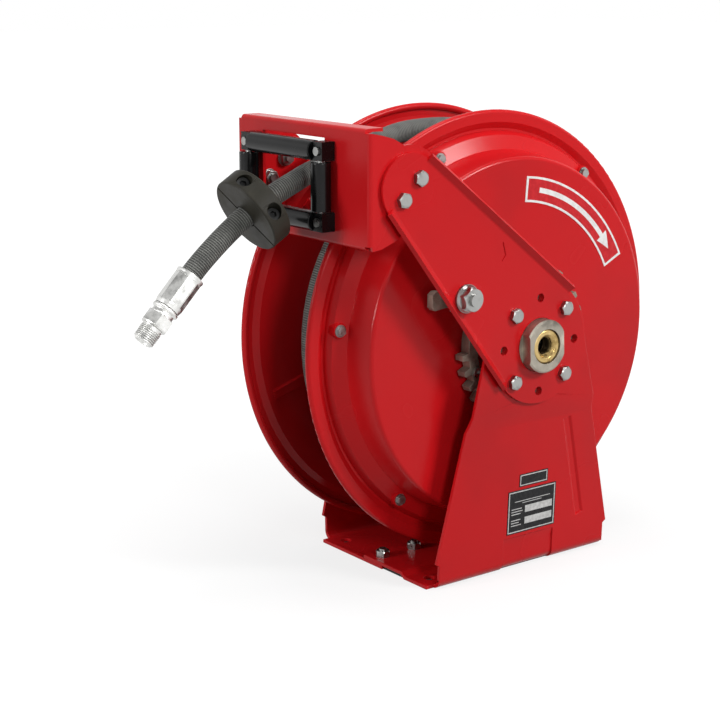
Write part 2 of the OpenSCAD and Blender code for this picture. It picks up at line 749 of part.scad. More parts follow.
// Disc sheet from the rolled edge to the hole; y = 0 is the rim's outer face and
// the spool's inside is towards +Y
module disc(hole_r) {
    step_r = disc_r - rim_w;
    turned([[disc_r - bead_r, 0], [disc_r - bead_r, disc_t], [step_r - 1, disc_t],
        [step_r - 7, rim_step + disc_t], [hole_r, rim_step + disc_t], [hole_r, rim_step],
        [step_r - 6, rim_step], [step_r, 0]]);
    translate([0, 0, axis_h]) rotate([-90, 0, 0]) rotate_extrude($fn = 180)
        translate([disc_r - bead_r, bead_r]) circle(r = bead_r, $fn = 24);
}

module case_screw_holes(y0, y1) {
    for (i = [0:case_screws_n - 1]) rotate_about_axis(case_screw_angle(i))
        rod_y(5.4, y0, y1, case_screw_r, axis_h);
}
function case_screw_angle(i) = 52 + 360 * i / case_screws_n;

module disc_near() {
    color(paint) difference() {
        translate([0, disc_near_y, 0]) disc(near_hole_r);
        case_screw_holes(near_web_y - 1, near_in_y + 1);
    }
}

module disc_far() {
    color(paint) union() {
        translate([0, disc_far_y, 0]) far_side() disc(bearing_d / 2 + hub_wall - 1);
        turned([[bearing_d / 2 + fit_gap, far_hub_y0], [bearing_d / 2 + hub_wall, far_hub_y0],
            [bearing_d / 2 + hub_wall, far_hub_y1], [bearing_d / 2 + fit_gap, far_hub_y1]]);
        for (i = [0:5]) rotate_about_axis(60 * i + 18)
            translate([rib_r0, far_in_y + 0.5, axis_h]) rotate([0, 90, 0]) linear_extrude(rib_r1 - rib_r0)
                polygon([[-7, 0], [7, 0], [4, -2], [-4, -2]]);
    }
}

module drum_barrel() {
    color(paint) difference() {
        turned([[barrel_r - barrel_t, near_in_y], [barrel_r, near_in_y],
            [barrel_r, far_in_y], [barrel_r - barrel_t, far_in_y]]);
        translate([0, port_y, 0]) cylinder(d = pipe_d + 1, h = axis_h, $fn = small);
    }
}

case_hub_y0 = case_face_y - 11.5;
case_hub_y1 = case_hub_y0 + bearing_l;
pad_r = 7.5;
pad_y = case_cone_y + 1;
case_ring_r = case_screw_r - pad_r - 1;

module spring_case() {
    t = case_t;
    color(paint) difference() {
        union() {
            turned(concat([[case_flange_r, near_web_y], [case_flange_r, near_web_y - t],
                [case_flange_r - 3.5, near_web_y - 8.5], [case_root_r, case_cone_y]],
                arc([case_face_r - 4, case_face_y + 4], 4, 0, -90, 6),
                [[bearing_d / 2 + hub_wall - 1, case_face_y], [bearing_d / 2 + hub_wall - 1, case_face_y + t]],
                arc([case_face_r - 4, case_face_y + 4], 4 - t, -90, 0, 4),
                [[case_root_r - t, case_cone_y + t], [case_flange_r - 5, near_web_y - 7],
                    [case_flange_r - 6, near_web_y - t], [case_ring_r, near_web_y - t], [case_ring_r, near_web_y]]));
            turned([[bearing_d / 2 + fit_gap, case_hub_y0], [bearing_d / 2 + hub_wall, case_hub_y0],
                [bearing_d / 2 + hub_wall, case_hub_y1], [bearing_d / 2 + fit_gap, case_hub_y1]]);
            intersection() {
                for (i = [0:case_screws_n - 1]) rotate_about_axis(case_screw_angle(i))
                    rod_y(2 * pad_r, pad_y, near_web_y - t / 2, case_screw_r, axis_h);
                rod_y(2 * case_flange_r - 2, pad_y - 1, near_web_y, n = 180);
            }
        }
        case_screw_holes(pad_y - 1, near_web_y + 1);
    }
}

module case_screws() {
    color(plated) for (i = [0:case_screws_n - 1]) rotate_about_axis(case_screw_angle(i)) {
        intersection() {
            hex_y(8, pad_y - 4, pad_y, case_screw_r, axis_h, 11 * i);
            rod_y(8.8, pad_y - 4, pad_y, case_screw_r, axis_h);
        }
        rod_y(12, pad_y - 1, pad_y, case_screw_r, axis_h);
        rod_y(5, pad_y - 1, near_in_y, case_screw_r, axis_h);
    }
}

// Strip wound from the arbor out to the case's wall
spring_r0 = arbor_r + 2;
spring_r1 = case_face_r - case_t - 3;
function spiral(r0, r1, turns, n = 30) =
    [for (i = [0:turns * n]) polar(r0 + (r1 - r0) * i / (turns * n), 360 * i / n)];
module mainspring() {
    outer = spiral(spring_r0 + spring_t, spring_r1, spring_turns);
    inner = spiral(spring_r0, spring_r1 - spring_t, spring_turns);
    last = len(inner) - 1;
    color(plated) translate([0, spring_y1, axis_h]) rotate([90, 0, 0]) linear_extrude(spring_w)
        polygon(concat(outer, [for (i = [last:-1:0]) inner[i]]));
}

ratchet_bolt_r = (ratchet_in_r + ratchet_root_r) / 2;
ratchet_foot = 3;
ratchet_y1 = case_face_y - ratchet_foot;
ratchet_y0 = ratchet_y1 - ratchet_t;
tooth_gap_angle = 131.3;

// Outline of the teeth: one sector for each place, with a tooth or bare
module ratchet_outline() {
    p = 360 / teeth_n;
    polygon([for (i = [0:teeth_n - 1]) let (k = i % (teeth_n / 2), bare = k > 0 && k <= teeth_left_out,
            a = tooth_gap_angle + (i + 0.5) * p)
        for (q = bare ? [[0, -0.25], [0, 0], [0, 0.25]] : [[0, -0.25], [1, -0.16], [1, 0.16], [0, 0.25]])
            polar(ratchet_root_r + q[0] * (ratchet_tip_r - ratchet_root_r), a + q[1] * p)]);
}

module ratchet_ring() {
    color(cast) difference() {
        union() {
            plate_xz(ratchet_y0, ratchet_y1) translate(shaft_c) ratchet_outline();
            rod_y(2 * ratchet_root_r - 4, ratchet_y1 - 1, case_face_y, n = fine);
        }
        rod_y(2 * ratchet_in_r, ratchet_y0 - 1, case_face_y + 1, n = fine);
        for (i = [0:5]) rotate_about_axis(60 * i + 20)
            rod_y(6.4, ratchet_y0 - 1, case_face_y + 1, ratchet_bolt_r, axis_h);
    }
}

module ratchet_screws() {
    color(plated) for (i = [0:5]) rotate_about_axis(60 * i + 20) difference() {
        union() {
            rod_y(10, ratchet_y0 - 3, ratchet_y0, ratchet_bolt_r, axis_h);
            rod_y(6, ratchet_y0 - 1, case_face_y, ratchet_bolt_r, axis_h);
        }
        hex_y(4, ratchet_y0 - 4, ratchet_y0 - 1, ratchet_bolt_r, axis_h);
    }
}

module bearing(y0) {
    turned([[shaft_d / 2 + bearing_gap, y0], [bearing_d / 2, y0],
        [bearing_d / 2, y0 + bearing_l], [shaft_d / 2 + bearing_gap, y0 + bearing_l]]);
}
module bearing_near() { color(yellow_brass) bearing(case_hub_y0); }
module bearing_far() { color(yellow_brass) bearing(far_hub_y0); }

sleeve_r = 31;
pipe_d = 18;
elbow_in = 1;
module swivel_sleeve() {
    r = shaft_d / 2 + bearing_gap;
    color(yellow_brass) difference() {
        turned([[r, sleeve_y0], [sleeve_r, sleeve_y0], [sleeve_r, sleeve_y1], [r, sleeve_y1],
            [r, port_y + 5], [r + 3, port_y + 5], [r + 3, port_y - 5], [r, port_y - 5]]);
        translate([0, port_y, axis_h - sleeve_r - 1]) cylinder(d = pipe_d - 6, h = 14, $fn = small);
        translate([0, port_y, axis_h - sleeve_r - 1]) cylinder(d = pipe_d + 2 * fit_gap, h = 5, $fn = small);
    }
}

// Pipe from the swivel sleeve out through the barrel to the hose's inner end
module outlet_elbow() {
    l = barrel_r - elbow_in - sleeve_r;
    color(yellow_brass) translate([0, port_y, axis_h - barrel_r + elbow_in]) difference() {
        union() {
            cylinder(d = pipe_d, h = l + 3.8, $fn = small);
            translate([0, 0, l - 14]) cylinder(d = 26 / cos(30), h = 12, $fn = 6);
        }
        translate([0, 0, -1]) cylinder(d = pipe_d - 6, h = l + 6, $fn = small);
    }
}

// Hose wound in four layers; the outer layers stop short of the far disc
wrap = (far_in_y - near_in_y) / 5;
function layer_r(k) = barrel_r + hose_d * k;
module wound_hose() {
    color(hose_black) turned([[barrel_r, near_in_y], [layer_r(4), near_in_y],
        [layer_r(4), near_in_y + 3 * wrap], [layer_r(3), near_in_y + 3 * wrap],
        [layer_r(3), near_in_y + 4 * wrap], [layer_r(2), near_in_y + 4 * wrap],
        [layer_r(2), far_in_y], [barrel_r, far_in_y]]);
}

// ---- pawl ----

pawl_t = 8;
pawl_y0 = ratchet_y0 - 1;
pawl_y1 = pawl_y0 + pawl_t;
pawl_boss_r = 12.5;
nose_w = 2;
// The nose is held off, just clear of the teeth, so the spool turns freely past it
nose_clear = 0.8;
tail_l = 23;

module pawl_arm() {
    out = polar(1, tooth_gap_angle);
    side = left_of(out);
    root = (ratchet_tip_r + nose_clear) * out;
    neck = (ratchet_tip_r + 3) * out;
    translate(shaft_c) polygon([root - nose_w * side, neck - 1.6 * nose_w * side,
        polar(ratchet_tip_r + 15, tooth_gap_angle - 0.5), polar(ratchet_tip_r + 26, tooth_gap_angle + 5),
        polar(121, 146), polar(99, 149), polar(ratchet_tip_r + 9, tooth_gap_angle + 11),
        polar(ratchet_tip_r + 4, tooth_gap_angle + 5),
        neck + 1.6 * nose_w * side, root + nose_w * side]);
}

module pawl_tail() {
    translate(pawl_c) polygon([[-3, -11], [-tail_l + 3, -13], [-tail_l, -10], [-tail_l, 2], [-tail_l + 4, 5],
        [-tail_l + 9, 5], [-tail_l + 12, 1], [-8, 3], [-3, 9]]);
}

module pawl() {
    color(cast) difference() {
        union() {
            rod_y(2 * pawl_boss_r, pawl_y0, pawl_y1, pawl_c[0], pawl_c[1], fine);
            plate_xz(pawl_y0, pawl_y1) pawl_arm();
            plate_xz(pawl_y0, pawl_y1) pawl_tail();
        }
        rod_y(pawl_d + 2 * bearing_gap, pawl_y0 - 1, pawl_y1 + 1, pawl_c[0], pawl_c[1]);
    }
}

// Shouldered bolt that carries the pawl, with its flange nut outside the arm
module pawl_bolt() {
    x = pawl_c[0];
    z = pawl_c[1];
    color(plated) {
        rod_y(20, arm_in_y, pawl_y0 - 0.3, x, z);
        rod_y(pawl_d, arm_out_y - 15, pawl_y1 + 0.3, x, z);
        rod_y(18, pawl_y1 + 0.3, pawl_y1 + 2.1, x, z);
        rod_y(27, arm_out_y - 2.5, arm_out_y, x, z);
        translate([x, arm_out_y - 2.5, z]) rotate([90, 0, 0]) cylinder(d1 = 26.4, d2 = 23, h = 2.5, $fn = small);
        intersection() {
            hex_y(21, arm_out_y - 12, arm_out_y, x, z, 20);
            translate([x, arm_out_y, z]) rotate([90, 0, 0]) cylinder(d1 = 36, d2 = 20.5, h = 12.5, $fn = small);
        }
    }
}

coil_d = 2;
coil_r = 10 + fit_gap + coil_d / 2;
coils_n = 5;
module pawl_spring() {
    pitch = coil_d + 0.2;
    color(plated) {
        for (i = [0:coils_n - 1]) translate([pawl_c[0], arm_in_y + 3 + i * pitch, pawl_c[1]])
            rotate([90, 0, 0]) rotate_extrude($fn = fine) translate([coil_r, 0]) circle(d = coil_d, $fn = 48);
        translate([pawl_c[0] - 24, arm_in_y + 3 + coils_n * pitch, pawl_c[1] - coil_r]) rotate([0, 90, 0])
            cylinder(d = coil_d, h = 24, $fn = small);
    }
}

// ---- hose lead, stop and end fitting ----

// The hose's last turn lies loose on the wound turns: it starts at the bottom, beside
// the fourth layer, and climbs round that layer's edge behind the spool
turn_from = -75;
turn_to = 61;
climb_from = -45;
climb_to = 50;
climb_share = 0.35;
edge_hug = 10.9;
edge_y = near_in_y + 3 * wrap;
edge_r = layer_r(4);
function eased(t) = let (u = min(max(t, 0), 1)) u * u * (3 - 2 * u);
// Place (y, radius) beside the edge, from the third layer up onto the fourth
function over_edge(u) = u < climb_share
    ? [edge_y + edge_hug, edge_r - 9 * (1 - u / climb_share)]
    : let (f = 84 * (u - climb_share) / (1 - climb_share)) [edge_y + edge_hug * cos(f), edge_r + edge_hug * sin(f)];
last_turn = [for (a = [turn_from:8:turn_to]) let (p = over_edge(eased((a - climb_from) / (climb_to - climb_from))))
    [p[1] * cos(a), p[0], axis_h + p[1] * sin(a)]];

// Then it goes over the top of the spool, through the rollers, and down to the fitting
lead_route = concat(last_turn, [[67, 36, 415.5], [38, 36, 424.5], [5, 35, 429], [-30, 33, 430], [-65, 29, 428], [-100, 21, 421.5],
    [-135, 11, 414], [-170, 0, 407.5], [-200, -9, 401.8], [-222, -15, 395.3], [-240, -17, 388.3],
    [-260, -17, 378.5], [-280, -17, 366.3], [-300, -17, 351.9], [-320, -17, 335.3], [-334, -17, 322],
    [-353, -17, 302]]);
lead_sides = 12;
stop_at = [-267, -17, 374.4];
stop_slope = 31.5;
stop_turn = -53;
end_at = [-334, -17, 322];
end_slope = 46.5;
screw_reach = 19;
head_seat = 17;
stop_screw_d = 8;

function tangent(p, i) = unit(p[min(i + 1, len(p) - 1)] - p[max(i - 1, 0)]);
function ring(c, t, r, n) = let (u = unit(cross(t, [0, 1, 0])), v = cross(t, u))
    [for (k = [0:n - 1]) c + r * (cos(360 * k / n) * u + sin(360 * k / n) * v)];

module swept_tube(p, r, n) {
    last = len(p) - 1;
    points = [for (i = [0:last]) each ring(p[i], tangent(p, i), r, n)];
    walls = [for (i = [0:last - 1], k = [0:n - 1])
        [i * n + k, i * n + (k + 1) % n, (i + 1) * n + (k + 1) % n, (i + 1) * n + k]];
    polyhedron(points, concat(walls, [[for (k = [n - 1:-1:0]) k], [for (k = [0:n - 1]) last * n + k]]));
}

module hose_lead() { color(hose_black) swept_tube(lead_route, hose_d / 2, lead_sides); }

// Puts its children on the hose, with local +Z along the hose towards its free end
module on_hose(at, slope) { translate(at) rotate([0, -90 - slope, 0]) children(); }

// Half of the stop: side = 1 is the upper half with the screw heads
module stop_half(side) {
    on_hose(stop_at, stop_slope) rotate([0, 0, stop_turn]) difference() {
        translate([0, 0, -stop_t / 2]) rotate_extrude($fn = fine)
            polygon([[hose_d / 2 + 0.7, 0], [stop_d / 2 - 1, 0], [stop_d / 2, 1], [stop_d / 2, stop_t - 1],
                [stop_d / 2 - 1, stop_t], [hose_d / 2 + 0.7, stop_t]]);
        translate([side > 0 ? -stop_d : -stop_split / 2, -stop_d, -stop_t])
            cube([stop_d + stop_split / 2, 2 * stop_d, 2 * stop_t]);
        for (s = [-1, 1]) translate([0, s * screw_reach, 0]) rotate([0, 90, 0]) {
            translate([0, 0, -stop_d]) cylinder(d = stop_screw_d + 0.5, h = 2 * stop_d, $fn = small);
            translate([0, 0, head_seat]) cylinder(d = 13.5, h = stop_d, $fn = small);
        }
    }
}

module stop_half_upper() { color(black) stop_half(1); }
module stop_half_lower() { color(black) stop_half(-1); }

module stop_screws() {
    color(black) on_hose(stop_at, stop_slope) rotate([0, 0, stop_turn])
        for (s = [-1, 1]) translate([0, s * screw_reach, 0]) rotate([0, 90, 0]) difference() {
            union() {
                translate([0, 0, -24]) cylinder(d = stop_screw_d, h = head_seat + 25, $fn = small);
                translate([0, 0, head_seat]) cylinder(d = 12, h = 7, $fn = small);
            }
            translate([0, 0, head_seat + 3]) cylinder(d = 6 / cos(30), h = 5, $fn = 6);
        }
}

module ferrule() {
    r = ferrule_d / 2;
    color(plated) on_hose(end_at, end_slope) difference() {
        rotate_extrude($fn = fine) polygon([[hose_d / 2 + 0.4, 0], [r, 0], [r, 1],
            [r - 0.6, 3], [r - 0.6, ferrule_l - 4], [r - 1.5, ferrule_l], [8, ferrule_l], [8, ferrule_l - 5],
            [hose_d / 2 + 0.4, ferrule_l - 5]]);
        for (a = [0:45:315]) rotate([0, 0, a + 10]) translate([r - 1.3, -r, 4]) cube([5, 2 * r, ferrule_l - 9]);
    }
}

ring_l = 8;
module end_fitting() {
    l0 = ferrule_l;
    l1 = l0 + ring_l;
    l2 = l1 + hex_l;
    l3 = l2 + thread_l;
    color(plated) on_hose(end_at, end_slope) difference() {
        union() {
            rotate_extrude($fn = fine) polygon([[0, l0 - 4], [7.9, l0 - 4], [7.9, l0], [11, l0], [12.6, l0 + 1.2],
                [12.6, l0 + 3], [10.5, l0 + 4.5], [10.5, l1], [0, l1]]);
            intersection() {
                translate([0, 0, l1]) cylinder(d = hex_af / cos(30), h = hex_l, $fn = 6);
                translate([0, 0, l1 - 7]) cylinder(r1 = hex_af / 2 - 5, r2 = hex_af / 2 + 12, h = 17, $fn = fine);
                translate([0, 0, l1 + 1]) cylinder(r1 = hex_af / 2 + 12, r2 = hex_af / 2 - 0.5, h = hex_l - 1, $fn = fine);
            }
            rotate_extrude($fn = fine) polygon([[0, l1], [9, l1], [9, l2], [thread_d / 2, l2],
                [thread_d / 2, l3 - 1.2], [thread_d / 2 - 1.2, l3], [0, l3]]);
        }
        translate([0, 0, l0 - 5]) cylinder(d = 12, h = l3, $fn = small);
    }
}

// ---- labels ----

label_r1 = case_face_r - 19;
label_r0 = label_r1 - 25;
label_a0 = 26;
label_a1 = 86;
label_t = 0.4;

module case_label() {
    color("white") plate_xz(case_face_y - label_t, case_face_y) translate(shaft_c)
        polygon(concat(arc([0, 0], label_r1, label_a0, label_a1, 30), arc([0, 0], label_r0, label_a1, label_a0, 30)));
}

// Thin plate on the leaning lower panel of the near upright
module panel_plate(x, z, w, h) {
    translate([0, -upright_low_y, lean_start_z]) rotate([lean_angle, 0, 0])
        translate([x, -label_t, z - lean_start_z]) cube([w, label_t, h]);
}
rating_size = [64, 45];
rating_at = [-25, 38];
notice_size = [38, 13];
notice_at = [rating_at[0] + 14, rating_at[1] + rating_size[1] + 3];
module rating_plate() { color(black) panel_plate(rating_at[0], rating_at[1], rating_size[0], rating_size[1]); }
module notice_plate() { color(black) panel_plate(notice_at[0], notice_at[1], notice_size[0], notice_size[1]); }

foot_near();
foot_far();
floor_studs();
floor_nuts();
arm_near();
arm_far();
inlet_hub();
end_hub();
hub_bolts_near();
hub_bolts_far();
inlet_fitting();
shaft();
shaft_seals();
spring_arbor();
fairlead_bracket();
head_bolts_near();
head_bolts_far();
head_nuts_near();
head_nuts_far();
corner_blocks();
block_screws();
roller_pins();
roller_upper();
roller_lower();
roller_near();
roller_far();
pawl();
pawl_bolt();
pawl_spring();
disc_near();
disc_far();
drum_barrel();
spring_case();
case_screws();
mainspring();
ratchet_ring();
ratchet_screws();
bearing_near();
bearing_far();
swivel_sleeve();
outlet_elbow();
wound_hose();
hose_lead();
stop_half_upper();
stop_half_lower();
stop_screws();
ferrule();
end_fitting();
case_label();
rating_plate();
notice_plate();
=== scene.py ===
import math

import bmesh
import bpy
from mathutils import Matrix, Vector


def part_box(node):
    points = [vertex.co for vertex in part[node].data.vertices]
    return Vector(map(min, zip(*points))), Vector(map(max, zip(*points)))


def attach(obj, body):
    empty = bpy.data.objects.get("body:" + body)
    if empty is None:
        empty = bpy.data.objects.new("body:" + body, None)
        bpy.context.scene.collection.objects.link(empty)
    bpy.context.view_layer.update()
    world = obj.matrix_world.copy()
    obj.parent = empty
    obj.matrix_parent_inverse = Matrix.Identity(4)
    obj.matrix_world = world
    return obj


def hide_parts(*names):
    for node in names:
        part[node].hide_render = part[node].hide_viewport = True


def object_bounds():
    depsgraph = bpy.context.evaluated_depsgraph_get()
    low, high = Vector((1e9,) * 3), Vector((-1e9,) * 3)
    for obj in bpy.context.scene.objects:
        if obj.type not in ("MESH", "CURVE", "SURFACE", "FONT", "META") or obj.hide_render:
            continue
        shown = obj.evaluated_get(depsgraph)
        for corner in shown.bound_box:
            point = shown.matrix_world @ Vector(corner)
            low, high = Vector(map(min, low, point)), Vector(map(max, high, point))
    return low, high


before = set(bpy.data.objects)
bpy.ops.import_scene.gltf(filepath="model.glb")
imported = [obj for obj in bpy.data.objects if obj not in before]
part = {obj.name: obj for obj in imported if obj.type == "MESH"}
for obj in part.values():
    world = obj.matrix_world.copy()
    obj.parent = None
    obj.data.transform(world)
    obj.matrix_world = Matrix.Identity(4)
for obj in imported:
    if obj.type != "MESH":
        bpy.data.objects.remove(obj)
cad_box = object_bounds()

# The camera stands low in front of the inlet side, on the side that the hose
# is pulled to, so that both discs, the guide arms and the rollers show.
camera_lens = bpy.data.cameras.new("camera_lens")
camera_lens.lens = 82.09
camera_lens.sensor_width = 36
camera_lens.clip_start = 0.05
looks_down, looks_right = 13.3, 37.06
camera = bpy.data.objects.new("camera", camera_lens)
camera.location = (-1.06947, -1.23755, 0.58108)
camera.rotation_euler = (math.radians(90 - looks_down), 0, math.radians(-looks_right))
bpy.context.scene.collection.objects.link(camera)
bpy.context.scene.camera = camera

# The hose lead: half-inch rubber hose, moulded with fine rings in its cover.
# Its last turn lies loose on the wound turns, then it runs over the spool and
# out between the rollers to the crimped end fitting.
axis_height = 0.231
hose_radius = 0.010
layer_edge_y, layer_edge_radius = 0.0349, 0.1855
lies_off_edge = 0.0109
climbs_from, climbs_over = -45, 95
climbs_beside = 0.35
sinks_beside = 0.009
rolls_round = 84


def eased(t):
    """0 to 1 with a soft start and a soft stop."""
    t = min(max(t, 0.0), 1.0)
    return t * t * (3 - 2 * t)


def last_turn_point(angle):
    """Up beside the edge of the fourth layer, and round it onto that layer."""
    climb = eased((angle - climbs_from) / climbs_over)
    if climb < climbs_beside:
        y = layer_edge_y + lies_off_edge
        radius = layer_edge_radius - sinks_beside * (1 - climb / climbs_beside)
    else:
        roll = math.radians(rolls_round * (climb - climbs_beside) / (1 - climbs_beside))
        y = layer_edge_y + lies_off_edge * math.cos(roll)
        radius = layer_edge_radius + lies_off_edge * math.sin(roll)
    turn = math.radians(angle)
    return (radius * math.cos(turn), y, axis_height + radius * math.sin(turn))


over_the_spool = [
    (0.067, 0.036, 0.4155), (0.038, 0.036, 0.4245), (0.005, 0.035, 0.429),
    (-0.030, 0.033, 0.430), (-0.065, 0.029, 0.428), (-0.100, 0.021, 0.4215),
    (-0.135, 0.011, 0.414), (-0.170, 0.0, 0.4075), (-0.200, -0.009, 0.4018)]
out_past_the_rollers = [
    (-0.222, -0.015, 0.3953), (-0.240, -0.017, 0.3883), (-0.260, -0.017, 0.3785),
    (-0.280, -0.017, 0.3663), (-0.300, -0.017, 0.3519), (-0.320, -0.017, 0.3353),
    (-0.334, -0.017, 0.322), (-0.353, -0.017, 0.302)]
round_the_spool = [last_turn_point(angle) for angle in range(-75, 62, 8)]
lead_route = round_the_spool + over_the_spool + out_past_the_rollers


def smooth_path(points, step):
    """Catmull-Rom line through the points, with a point about every step."""
    p = [Vector(q) for q in points]
    p = [p[0] * 2 - p[1]] + p + [p[-1] * 2 - p[-2]]
    out = []
    for i in range(1, len(p) - 2):
        n = max(1, round((p[i + 1] - p[i]).length / step))
        for k in range(n):
            t = k / n
            out.append(0.5 * (2 * p[i] + (p[i + 1] - p[i - 1]) * t
                              + (2 * p[i - 1] - 5 * p[i] + 4 * p[i + 1] - p[i + 2]) * t ** 2
                              + (3 * p[i] - p[i - 1] - 3 * p[i + 1] + p[i + 2]) * t ** 3))
    return out + [p[-2]]


def new_piece(name, mesh, material=None):
    """Scene object from a finished bmesh."""
    data = bpy.data.meshes.new(name)
    mesh.to_mesh(data)
    mesh.free()
    piece = bpy.data.objects.new(name, data)
    bpy.context.scene.collection.objects.link(piece)
    if material:
        data.materials.append(material)
    return piece


def tube(name, path, radius, sides, material):
    """Closed tube along a path. Its attribute wrap holds the cosine and the sine
    of the angle round the tube, and the length along it."""
    mesh = bmesh.new()
    wrap = mesh.verts.layers.float_vector.new("wrap")
    rings, along = [], 0.0
    side = Vector((0, 1, 0))
    for i, p in enumerate(path):
        if i:
            along += (p - path[i - 1]).length
        ahead = (path[min(i + 1, len(path) - 1)] - path[max(i - 1, 0)]).normalized()
        side = (side - ahead * side.dot(ahead)).normalized()
        over = ahead.cross(side)
        ring = []
        for k in range(sides):
            a = 2 * math.pi * k / sides
            v = mesh.verts.new(p + radius * (math.cos(a) * side + math.sin(a) * over))
            v[wrap] = (math.cos(a), math.sin(a), along)
            ring.append(v)
        rings.append(ring)
    for a, b in zip(rings, rings[1:]):
        for k in range(sides):
            mesh.faces.new((a[k], a[(k + 1) % sides], b[(k + 1) % sides], b[k])).smooth = True
    mesh.faces.new(rings[0][::-1])
    mesh.faces.new(rings[-1])
    mesh.normal_update()
    return new_piece(name, mesh, material)


def feed(net, socket, value):
    """Joins a node's output to a socket, or sets the socket's own value."""
    if isinstance(value, bpy.types.NodeSocket):
        net.links.new(value, socket)
    else:
        socket.default_value = value


def dress(net, node, **sockets):
    """Feeds a node's sockets by name."""
    for key, value in sockets.items():
        feed(net, node.inputs[key.replace("_", " ")], value)


def add(net, kind, **settings):
    """New node, with its properties set and its sockets fed by name."""
    node = net.nodes.new(kind)
    for key, value in settings.items():
        if hasattr(node, key):
            setattr(node, key, value)
        else:
            dress(net, node, **{key: value})
    return node


def surface(name, roughness, metallic=0.0, **sockets):
    """New material: returns it with its node tree and its shader."""
    material = bpy.data.materials.new(name)
    material.use_nodes = True
    net = material.node_tree
    shader = net.nodes["Principled BSDF"]
    dress(net, shader, Roughness=roughness, Metallic=metallic, **sockets)
    return material, net, shader


def maths(net, operation, *values):
    node = add(net, "ShaderNodeMath", operation=operation)
    for socket, value in zip(node.inputs, values):
        feed(net, socket, value)
    return node.outputs[0]


def object_place(net):
    return add(net, "ShaderNodeTexCoord").outputs["Object"]


def axes(net, vector):
    return add(net, "ShaderNodeSeparateXYZ", Vector=vector).outputs


def noise(net, place, scale, detail, roughness=0.5):
    """Cloudy pattern, mostly between 0.3 and 0.7."""
    return add(net, "ShaderNodeTexNoise", Vector=place, Scale=scale, Detail=detail,
               Roughness=roughness).outputs["Fac"]


def spread(net, value, low, high, start=0.3, end=0.7):
    """Stretches a value from start and end to low and high."""
    return add(net, "ShaderNodeMapRange", Value=value, From_Min=start, From_Max=end,
               To_Min=low, To_Max=high).outputs[0]


def ramp(net, value, stops):
    """Colour that passes softly through the stops."""
    node = add(net, "ShaderNodeValToRGB", Fac=value)
    node.color_ramp.interpolation = "EASE"
    bar = node.color_ramp.elements
    while len(bar) < len(stops):
        bar.new(0.5)
    for element, (place, colour) in zip(bar, stops):
        element.position = place
        element.color = (*colour, 1)
    return node.outputs[0]


def shade(tone, by, lift=0.0):
    """Lighter or darker tone, by one factor or by one each for red, green and blue."""
    factors = by if isinstance(by, tuple) else (by, by, by)
    return tuple(min(1, c * factor + lift) for c, factor in zip(tone, factors))


def bump(net, shader, height, strength, distance):
    """Adds relief on top of the relief that the shader has."""
    node = add(net, "ShaderNodeBump", Strength=strength, Distance=distance, Height=height)
    relief = shader.inputs["Normal"]
    if relief.is_linked:
        net.links.new(relief.links[0].from_socket, node.inputs["Normal"])
    net.links.new(node.outputs[0], relief)


def hose_cover(name, tone):
    """Rubber with a moulded ring each 2.2 mm, and the print of its wrapping cloth."""
    ring_pitch = 0.0022
    cloth_round, cloth_along = 40.0, 5200.0
    material, net, shader = surface(name, 0.55, Sheen_Weight=0.12, Sheen_Roughness=0.4,
                                    Specular_IOR_Level=0.42)
    wrap = axes(net, add(net, "ShaderNodeAttribute", attribute_name="wrap").outputs["Vector"])
    turn = maths(net, "ARCTAN2", wrap[1], wrap[0])
    along = wrap[2]
    patchy = noise(net, object_place(net), scale=90.0, detail=3.0)
    pitch = maths(net, "MULTIPLY", along, 2 * math.pi / ring_pitch)
    rings = maths(net, "SINE", maths(net, "ADD", pitch, turn))
    cloth = maths(net, "SINE", maths(net, "MULTIPLY_ADD", turn, cloth_round,
                                     maths(net, "MULTIPLY", along, cloth_along)))
    bump(net, shader, maths(net, "MULTIPLY_ADD", cloth, 0.18, rings), 0.9, 0.0003)
    # Painted highlight on the ring crests and painted shade in the ring grooves, over the
    # rubber's own patchy tone.
    patches_and_ring_light = maths(net, "MULTIPLY_ADD", rings, 0.34, patchy)
    dress(net, shader,
          Base_Color=ramp(net, patches_and_ring_light, [(0.18, shade(tone, 0.35)), (0.52, tone),
                                       (0.88, shade(tone, 2.2, lift=0.02))]),
          Roughness=spread(net, patchy, 0.44, 0.68))
    return material


lead_line = smooth_path(lead_route, 0.006)
hose_rubber = hose_cover("hose_rubber", (0.078, 0.079, 0.072))
hose_lead = tube("hose_lead_cover", lead_line, hose_radius, 28, hose_rubber)
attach(hose_lead, "frame")
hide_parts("hose_lead")

# The hose stop: a split disc of black plastic, clamped on the hose by two socket
# screws that are sunk into its upper half. It meets the rollers when the hose
# has run in.


def moulded(name, tone, roughness, grain_scale, grain, specular=0.5):
    """Moulded plastic or rubber, with the fine grain of its mould."""
    material, net, shader = surface(name, roughness, Specular_IOR_Level=specular)
    place = object_place(net)
    cloud = noise(net, place, scale=60.0, detail=4.0, roughness=0.6)
    dress(net, shader,
          Base_Color=ramp(net, cloud, [(0.3, shade(tone, 0.65)), (0.55, tone),
                                       (0.8, shade(tone, 1.5))]),
          Roughness=spread(net, cloud, roughness - 0.07, roughness + 0.1))
    bump(net, shader, noise(net, place, scale=grain_scale, detail=3.0), grain, 0.0003)
    return material


def zinc_plate(name, tone, roughness, brushed=0.0):
    """Plated or bright metal, a little clouded."""
    material, net, shader = surface(name, roughness, metallic=1.0)
    place = object_place(net)
    cloud = noise(net, place, scale=120.0, detail=4.0, roughness=0.6)
    dress(net, shader,
          Base_Color=ramp(net, cloud, [(0.3, shade(tone, 0.72)), (0.55, tone),
                                       (0.8, shade(tone, (1.1, 1.1, 1.14)))]),
          Roughness=spread(net, cloud, roughness * 0.75, roughness * 1.45))
    bump(net, shader, noise(net, place, scale=900.0, detail=2.0), 0.06 + brushed, 0.0002)
    return material


